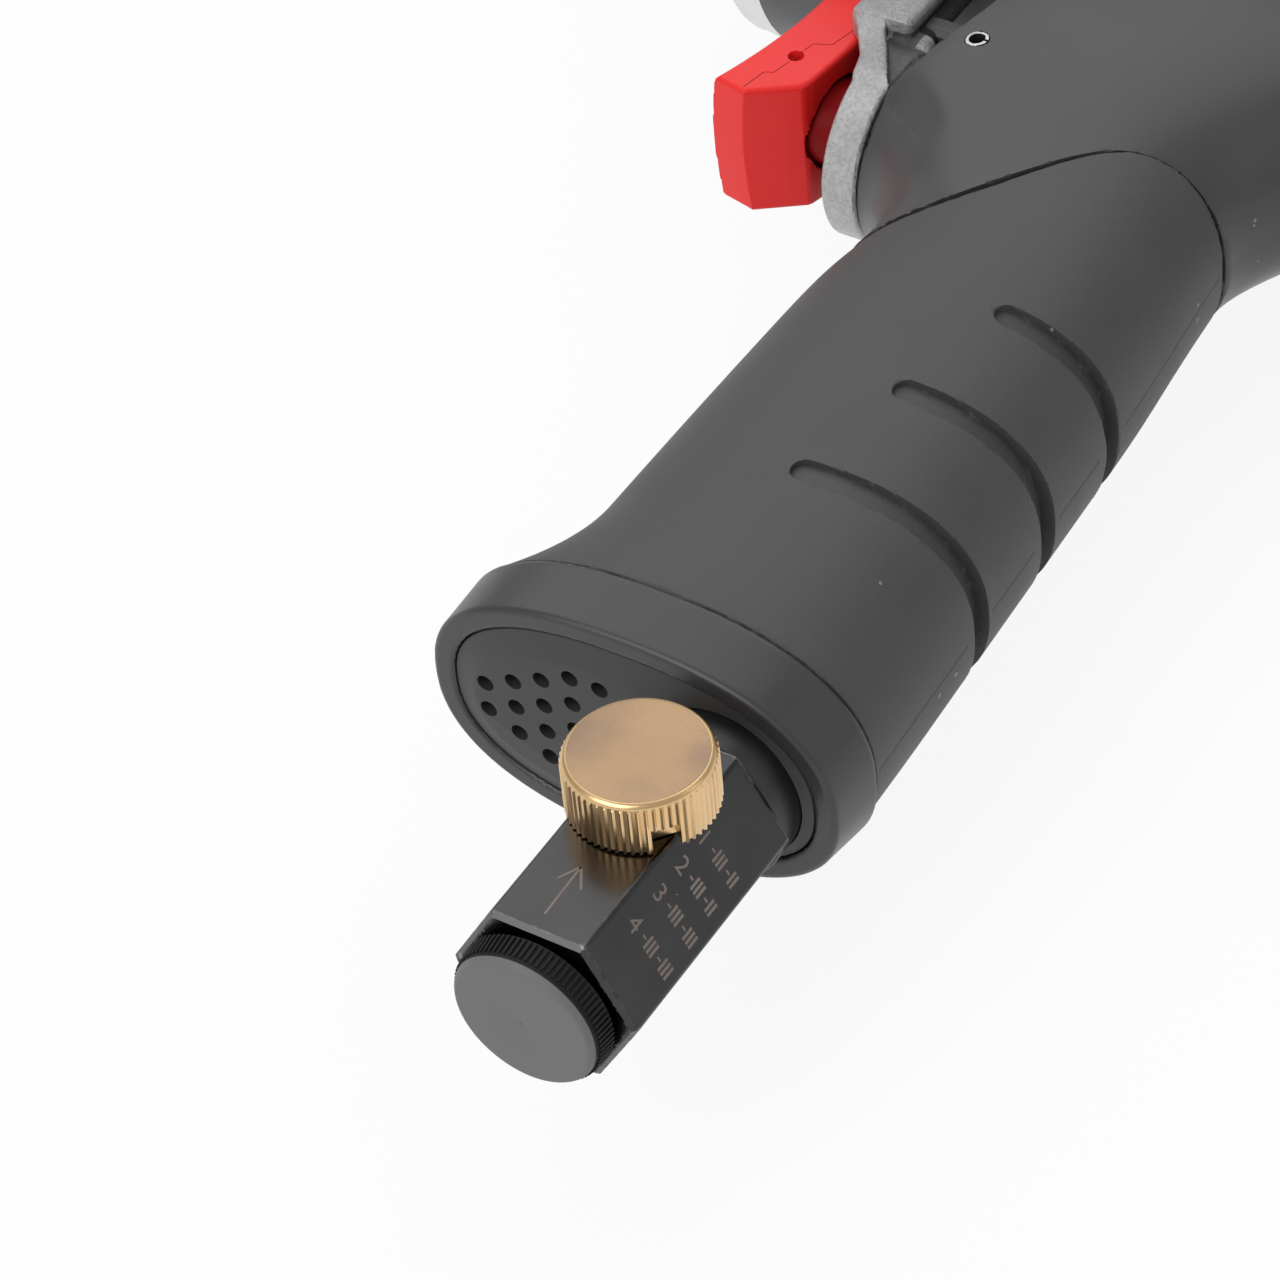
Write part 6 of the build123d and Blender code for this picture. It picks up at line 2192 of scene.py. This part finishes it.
@dataclass
class FrontEnd:
    """Hammer case, front frame with the trigger collar, case bolts, drive and reverse buttons."""

    workshop: Workshop
    case_profile: tuple[Flat, ...] = (
        (-1.5, 16.0), (-2.5, 17.0), (-8.5, 17.0), (-11.5, 21.5), (-14.6, 27.5), (-15.9, 30.3), (-16.4, 30.7),
        (-18.0, 31.1), (-22.2, 31.4), (-50.0, 31.5),
    )
    band_back: float = -22.2
    case_back: float = -50.0
    cavity: Bore = Bore(X, DRIVE_AXIS, 26.5, -59.0, -17.0)
    bushing_seat: Bore = Bore(X, DRIVE_AXIS, 14.0, -30.0, -3.0)
    nose_hole: Bore = Bore(X, DRIVE_AXIS, 11.6, -30.0, 9.0, 0.4)
    bolt_circle: float = 34.5
    bolt_count: int = 4
    lug_radius: float = 5.8
    lug_front: float = -35.0
    bolt_radius: float = 2.9
    head_radius: float = 4.25
    head_length: float = 5.5
    head_fit: float = 0.3
    socket_flats: float = 5.0
    socket_depth: float = 3.3
    bolt_end: float = -62.5
    frame_front: float = -50.5
    frame_back: float = -64.0
    frame_radius: float = 32.0
    web_front: float = -52.5
    web_end: float = 53.2
    web_half_width: float = 15.0
    neck_half_width: float = 13.9
    neck: tuple[Flat, ...] = (
        (-52.6, 51.0), (-52.6, 52.2), (-54.7, 55.6), (-57.4, 59.6), (-59.0, 63.5),
        (-64.0, 63.5), (-62.2, 60.5), (-60.2, 57.0), (-58.1, 53.6), (-58.1, 51.0),
    )
    neck_back: tuple[Flat, Flat] = ((-58.3, 53.4), (-64.2, 63.6))
    recess_floor: float = 12.6
    spine_shade: float = -65.7
    chunk_front: float = -62.6
    shelf_shade: Flat = (33.0, 50.4)
    flange_back: float = -61.5
    flange_floor: float = 11.9
    shelf_top: float = 40.2
    spine_end: float = 54.3
    spine_half_width: float = 9.6
    boss_span: Flat = (-64.4, -59.0)
    boss_radius: float = 13.6
    spine_low: float = -74.0
    spine_front: float = -63.0
    spine_round: Bore = Bore(X, DRIVE_AXIS, 27.3, -75.0, -64.0)
    plate_seat: Bore = Bore(X, DRIVE_AXIS, 26.4, -70.0, -60.0)
    bearing_seat: Bore = Bore(X, DRIVE_AXIS, 14.0, -70.0, -52.0)
    shaft_hole: Bore = Bore(X, DRIVE_AXIS, 8.0, -70.0, -40.0, 0.4)
    boss_bore: Bore = Bore(X, (STEM_Y, 0.0), 10.3, -70.0, -40.0, 0.5)
    pocket_low: Point = (-61.5, 40.5, -10.9)
    pocket_high: Point = (-40.0, 65.5, 10.9)
    reverse_hole: Bore = Bore(Z, (-58.5, 35.0), 4.45, -20.0, 20.0, 0.4)

    def build(self) -> None:
        """Makes all the pieces of the front end."""
        put = self.workshop.put
        put("hammer_case_shell", self.case(), [CASE_SKIN, CASE_BAND], Body.TOOL, ["hammer_case"])
        # The frame's hollows and its shelf get painted shade in the second and third finishes.
        castings = [CAST_FRAME, CAST_PAINTED_SHADE, CAST_SHADE]
        put("frame_casting", self.casting(), castings, Body.TOOL, ["front_frame"])
        put("case_screws", self.bolts(), [BOLT_OXIDE], Body.TOOL, ["case_bolts"])
        put("square_drive", softened_copy("anvil", 0.22), [DRIVE_STEEL], Body.DRIVE, ["anvil"])
        put("friction_ring", softened_copy("socket_ring", 0.1), [PIN_STEEL], Body.DRIVE, ["socket_ring"])
        buttons = softened_copy("reverse_buttons", 0.2)
        put("reverse_caps", buttons, [BOLT_OXIDE], Body.REVERSE, ["reverse_buttons"])

    def case_form(self, points: Array) -> Array:
        """Distance to the hammer case.

        Args:
            points: Places, one in each row.

        Returns:
            Signed distances.
        """
        case = turned(points, self.case_profile)
        places = bolt_places(self.bolt_count, self.bolt_circle)
        for place in places:
            lug = rod(points, X, place, self.lug_radius, self.case_back, self.lug_front)
            case = fillet(case, lug, 1.6)
        case = np.maximum(case, self.case_back - points[:, X])
        holes = [self.cavity, self.bushing_seat, self.nose_hole]
        for place in places:
            holes.append(Bore(X, place, self.bolt_radius, self.case_back - 9.0, self.lug_front + 1.0))
            holes.append(Bore(X, place, self.head_radius + self.head_fit, self.lug_front, -17.0, 0.4))
        return drilled(case, points, holes)

    def case(self) -> Mesh:
        """Mesh of the hammer case with a bright turned band.

        Returns:
            The mesh in metres.
        """
        reach = self.frame_radius
        low, high = (self.case_back, -reach, -reach), (-1.5, reach, reach)
        mesh = contour("hammer_case_shell", self.case_form, low, high, 0.565)
        for face in mesh.polygons:
            centre = face.center / MM
            outer = centre.yz.length > self.cavity.radius + 0.5 or centre.x > self.cavity.high
            face.material_index = int(centre.x > self.band_back and outer)
        return mesh

    def recess(self, points: Array) -> Array:
        """Distance to the hollow behind the neck on each side, whose faces get painted shade.

        Args:
            points: Places, one in each row.

        Returns:
            Signed distances.
        """
        (ax, ay), (bx, by) = self.neck_back
        length = np.hypot(bx - ax, by - ay)
        ahead = ((points[:, X] - ax) * (by - ay) - (points[:, Y] - ay) * (bx - ax)) / length
        ends = np.maximum(ay - points[:, Y], points[:, Y] - by)
        return np.maximum(np.maximum(ahead, ends), self.recess_floor - np.abs(points[:, Z]))

    def casting_form(self, points: Array) -> Array:
        """Distance to the front frame.

        Args:
            points: Places, one in each row.

        Returns:
            Signed distances.
        """
        x, y, side = points[:, X], points[:, Y], np.abs(points[:, Z])
        ring = rod(points, X, DRIVE_AXIS, self.frame_radius, self.frame_back, self.frame_front)
        places = bolt_places(self.bolt_count, self.bolt_circle)
        for place in places:
            lug = rod(points, X, place, self.lug_radius, self.frame_back, self.frame_front)
            ring = fillet(ring, lug, 1.8)
        half = self.web_half_width
        web = block(points, (self.frame_back, 0.0, -half), (self.web_front, self.web_end, half))
        faces = np.maximum(x - self.web_front, self.frame_back - x)
        web = np.maximum(web, round_off(np.maximum(side - half, y - self.web_end), faces, 1.0))
        casting = fillet(ring, web, 2.5)
        neck = round_off(outline(x, y, self.neck), side - self.neck_half_width, 0.7)
        low, high = self.boss_span
        boss = np.hypot(y - STEM_Y, points[:, Z]) - self.boss_radius
        boss = round_off(boss, np.maximum(x - high, low - x), 0.7)
        shelf = round_off(x - self.flange_back, self.flange_floor - side, 0.5)
        shelf = np.maximum(shelf, np.maximum(y - self.web_end - 0.8, self.shelf_top - y))
        casting = cut(casting, shelf, 1.5)
        casting = fillet(casting, neck, 1.6)
        casting = fillet(casting, boss, 1.6)
        casting = cut(casting, self.recess(points), 0.8)
        casting = np.maximum(casting, low - x)
        casting = np.maximum(casting, np.where(y < 48.5, self.frame_back - x, -1e3))
        half = self.spine_half_width
        spine = block(points, (self.spine_low, 0.0, -half), (self.spine_front, self.spine_end, half))
        casting = fillet(casting, drilled(spine, points, (self.spine_round,)), 0.8)
        bores = (self.plate_seat, self.bearing_seat, self.shaft_hole, self.boss_bore)
        casting = drilled(casting, points, bores)
        casting = cut(casting, block(points, self.pocket_low, self.pocket_high), 0.3)
        bolt_holes = [Bore(X, place, self.bolt_radius, self.bolt_end, -40.0) for place in places]
        return drilled(casting, points, [self.reverse_hole, *bolt_holes])

    def casting(self) -> Mesh:
        """Mesh of the front frame, with painted shade on its hollows, on the side of its spine and on its
        shelf.

        Returns:
            The mesh in metres.
        """
        reach = self.frame_radius
        low = (self.spine_low, -reach, -reach)
        high = (self.frame_front, STEM_Y + self.boss_radius, reach)
        mesh = contour("frame_casting", self.casting_form, low, high, 0.5)
        places = np.array([face.center for face in mesh.polygons]) / MM
        x, y, z = places.T
        side = np.abs(z)
        spine_side = self.spine_half_width + 0.5
        neck_end = STEM_Y - 3
        # Faces in the hollow behind the neck and on the side of the spine get painted shade.
        recess = (self.recess(places) < 0.25) & (x > self.spine_shade) & (y > self.web_end + 0.3)
        spine = within(x, self.spine_shade, self.frame_back + 0.5) & (side < spine_side)
        recess |= spine & within(y, self.shelf_top, self.spine_end + 1)
        chunk = within(x, self.chunk_front, self.neck_back[0][0] - 0.4) & within(y, self.shelf_top, neck_end)
        behind = within(x, self.boss_span[0], self.chunk_front) & within(y, self.web_end + 0.4, neck_end)
        recess |= (chunk | behind) & (side < self.recess_floor + 0.3)
        # Faces of the shelf beside the frame get a near-black painted shade.
        shaded_shelf = (x < self.flange_back) & within(y, *self.shelf_shade)
        shaded_shelf &= (side > spine_side) & (np.hypot(y, z) > self.frame_radius + 1.5)
        shaded_shelf &= (x < self.flange_back - 0.35) | (side < self.recess_floor)
        mesh.polygons.foreach_set("material_index", np.where(shaded_shelf, 2, recess).astype(np.int32))
        return mesh

    def bolts(self) -> Mesh:
        """Socket-head bolts set on their circle by a geometry tree.

        Returns:
            The mesh in metres.
        """
        screw = cap_screw(
            "case_screw",
            (self.lug_front, self.lug_front + self.head_length, self.bolt_end),
            (self.head_radius, self.bolt_radius),
            (self.socket_flats, self.socket_depth),
        )
        values = {"Count": self.bolt_count, "Circle Radius": self.bolt_circle * MM}
        return self.workshop.grow("case_screws", "ring_of_screws", screw, BOLT_OXIDE, values, ring_of_screws)


def cap_screw(name: str, ends: Point, radii: Flat, socket: Flat) -> Mesh:
    """One socket-head screw along X, on the drive axis.

    Args:
        name: Name of the mesh.
        ends: Places of the seat, the head's outer end and the shank's end.
        radii: Radius of the head and of the shank.
        socket: Width across the socket's flats and its depth.

    Returns:
        The mesh in metres.
    """
    seat, top, end = ends
    head_radius, shank_radius = radii
    flats, depth = socket
    way = 1.0 if top > seat else -1.0

    def form(points: Array) -> Array:
        """Distance to the screw.

        Args:
            points: Places, one in each row.

        Returns:
            Signed distances.
        """
        along = way * (points[:, X] - seat)
        reach = np.hypot(points[:, Y], points[:, Z])
        head = round_off(reach - head_radius, np.maximum(along - abs(top - seat), -along), 0.4)
        shank = np.maximum(reach - shank_radius, np.maximum(along - 1.0, -along - abs(end - seat)))
        _, y, z = points.T
        sides = [np.abs(y * cos(turn) + z * sin(turn)) - flats / 2 for turn in HEX_TURNS]
        hole = np.maximum(np.max(sides, axis=0), abs(top - seat) - depth - along)
        return cut(np.minimum(head, shank), hole, 0.15)

    low = (min(end, top), -head_radius, -head_radius)
    high = (max(end, top), head_radius, head_radius)
    return contour(name, form, low, high, 0.34)


@dataclass
class RearEnd:
    """Rear cover and its screws."""

    workshop: Workshop
    cover_profile: tuple[Flat, ...] = ((-140.5, 30.0), (-144.5, 30.0), (-152.0, 22.0))
    edge_round: float = 1.2
    pilot: Point = (-136.0, 21.8, 18.0)
    screw_circle: float = 26.0
    screw_count: int = 4
    screw_seat: float = -146.0
    hole_back: float = -160.0
    head_radius: float = 3.6
    head_fit: float = 0.3
    head_length: float = 4.0
    shank_radius: float = 2.0
    screw_front: float = -130.0
    recess_flats: float = 3.0
    recess_depth: float = 2.4

    def build(self) -> None:
        """Makes the pieces of the rear end."""
        put = self.workshop.put
        put("rear_cover_shell", self.cover(), [COMPOSITE], Body.TOOL, ["rear_cover"])
        put("cover_cap_screws", self.screws(), [BOLT_OXIDE], Body.TOOL, ["cover_screws"])

    def form(self, points: Array) -> Array:
        """Distance to the rear cover.

        Args:
            points: Places, one in each row.

        Returns:
            Signed distances.
        """
        (front, radius), (land, _), (back, face_radius) = self.cover_profile
        reach = np.hypot(points[:, Y], points[:, Z])
        slope = (radius - face_radius) / (land - back)
        cone = (reach - radius + slope * (land - points[:, X])) / np.sqrt(1 + slope**2)
        side = round_off(reach - radius, cone, self.edge_round)
        cover = round_off(side, back - points[:, X], self.edge_round)
        cover = np.maximum(cover, points[:, X] - front)
        pilot_front, outer, inner = self.pilot
        ends = np.maximum(points[:, X] - pilot_front, front - 1.0 - points[:, X])
        cover = np.minimum(cover, np.maximum(np.maximum(reach - outer, inner - reach), ends))
        holes = []
        head_hole = self.head_radius + self.head_fit
        for place in bolt_places(self.screw_count, self.screw_circle):
            holes.append(Bore(X, place, head_hole, self.hole_back, self.screw_seat, 0.35))
            holes.append(Bore(X, place, self.shank_radius, self.hole_back, self.screw_front))
        return drilled(cover, points, holes)

    def cover(self) -> Mesh:
        """Mesh of the rear cover.

        Returns:
            The mesh in metres.
        """
        radius = self.cover_profile[0][1]
        low = (self.cover_profile[2][0], -radius, -radius)
        return contour("rear_cover_shell", self.form, low, (self.pilot[0], radius, radius), 0.55)

    def screws(self) -> Mesh:
        """Cover screws set on their circle by a geometry tree.

        Returns:
            The mesh in metres.
        """
        screw = cap_screw(
            "cover_screw",
            (self.screw_seat, self.screw_seat - self.head_length, self.screw_front),
            (self.head_radius, self.shank_radius),
            (self.recess_flats, self.recess_depth),
        )
        values = {"Count": self.screw_count, "Circle Radius": self.screw_circle * MM}
        grow = self.workshop.grow
        return grow("cover_cap_screws", "ring_of_screws", screw, BOLT_OXIDE, values, ring_of_screws)


@dataclass(frozen=True)
class Lamp:
    """One soft lamp: its place, its target and its size in metres, and its power in watts."""

    name: str
    place: Point
    target: Point
    size: Flat
    power: float


@dataclass
class Studio:
    """Floor, lamps, world and camera."""

    floor_gap: float = 0.0004
    floor_half: float = 6.0
    floor_white: float = 0.85
    floor_glow: float = 0.9
    world_level: float = 0.5
    camera_place: Point = (-0.345199, 0.523829, 0.430254)
    camera_rows: tuple[Point, ...] = (
        (-0.84901138, -0.52290058, -0.07585941),
        (-0.31768664, 0.61990382, -0.71749178),
        (0.42220241, -0.58505917, -0.69242393),
    )
    lens: float = 140.625
    sensor: float = 36.0
    lamps: tuple[Lamp, ...] = (
        Lamp("overhead_softbox", (0.3, -0.42, 0.95), (-0.09, 0.08, 0.0), (1.4, 1.4), 7.2),
        Lamp("front_softbox", (0.1, 1.1, 0.75), (-0.09, 0.08, 0.0), (0.9, 0.9), 7.2),
        Lamp("right_softbox", (-0.9, -0.1, 0.5), (-0.09, 0.1, 0.0), (0.3, 0.8), 0.4),
    )

    def build(self) -> None:
        """Makes the whole stage."""
        self.floor()
        self.world()
        self.lights()
        self.camera()
        bpy.context.scene.view_settings.view_transform = "Standard"

    def floor(self) -> None:
        """Pale floor that shows white and keeps a soft shadow."""
        level = CAD_BOX[0].z - self.floor_gap
        half = self.floor_half
        mesh = bpy.data.meshes.new("floor")
        corners = [(x * half, y * half, level) for x, y in ((-1, -1), (1, -1), (1, 1), (-1, 1))]
        mesh.from_pydata(corners, [], [(0, 1, 2, 3)])
        floor = added("floor", mesh)
        material, graph = new_material("pale_floor")
        white = self.floor_white
        matt = graph.add("ShaderNodeBsdfDiffuse", {"Color": (white, white, white, 1.0)})
        glow = graph.add("ShaderNodeEmission", {"Color": (1.0, 1.0, 1.0, 1.0), "Strength": 1.0})
        path = graph.add("ShaderNodeLightPath")
        seen = graph.math("MAXIMUM", path.outputs["Is Camera Ray"], path.outputs["Is Glossy Ray"])
        seen = graph.math("MAXIMUM", seen, path.outputs["Is Transmission Ray"])
        share = graph.math("MULTIPLY", seen, self.floor_glow)
        mixed = graph.add("ShaderNodeMixShader", {0: share, 1: matt, 2: glow})
        graph.add("ShaderNodeOutputMaterial", {"Surface": mixed})
        mesh.materials.append(material)

    def world(self) -> None:
        """Even grey surroundings."""
        world = bpy.data.worlds.new("studio")
        world.use_nodes = True
        background = world.node_tree.nodes["Background"]
        background.inputs["Color"].default_value = (1.0, 1.0, 1.0, 1.0)
        background.inputs["Strength"].default_value = self.world_level
        bpy.context.scene.world = world

    def lights(self) -> None:
        """Soft lamps round the object."""
        for lamp in self.lamps:
            data = bpy.data.lights.new(lamp.name, "AREA")
            data.shape = "RECTANGLE"
            data.size, data.size_y = lamp.size
            data.energy = lamp.power
            item = added(lamp.name, data)
            item.location = lamp.place
            way = Vector(lamp.target) - Vector(lamp.place)
            item.rotation_euler = way.to_track_quat("-Z", "Y").to_euler()

    def camera(self) -> None:
        """Camera at the photograph's place and angle."""
        data = bpy.data.cameras.new("camera")
        data.lens = self.lens
        data.sensor_width = self.sensor
        data.clip_start = 0.01
        item = added("camera", data)
        right, down, forward = [Vector(row) for row in self.camera_rows]
        turn = Matrix((right, -down, -forward)).transposed().to_4x4()
        item.matrix_world = Matrix.Translation(self.camera_place) @ turn
        bpy.context.scene.camera = item


def paint_inner_nodes(workshop: Workshop) -> None:
    """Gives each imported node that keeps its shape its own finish.

    Args:
        workshop: Workshop that makes the materials.
    """
    for finish, nodes in INNER_FINISHES.items():
        for node in nodes:
            workshop.paint(node, finish)


def main() -> None:
    """Builds the stage and every sub-assembly in order."""
    logging.basicConfig(level=logging.INFO, format="%(message)s")
    workshop = Workshop(Effects())
    Studio().build()
    for group in (Handle, Regulator, TriggerGroup, FrontEnd, RearEnd):
        LOG.info("building %s", group.__name__)
        group(workshop).build()
    paint_inner_nodes(workshop)


if __name__ == "__main__":
    main()
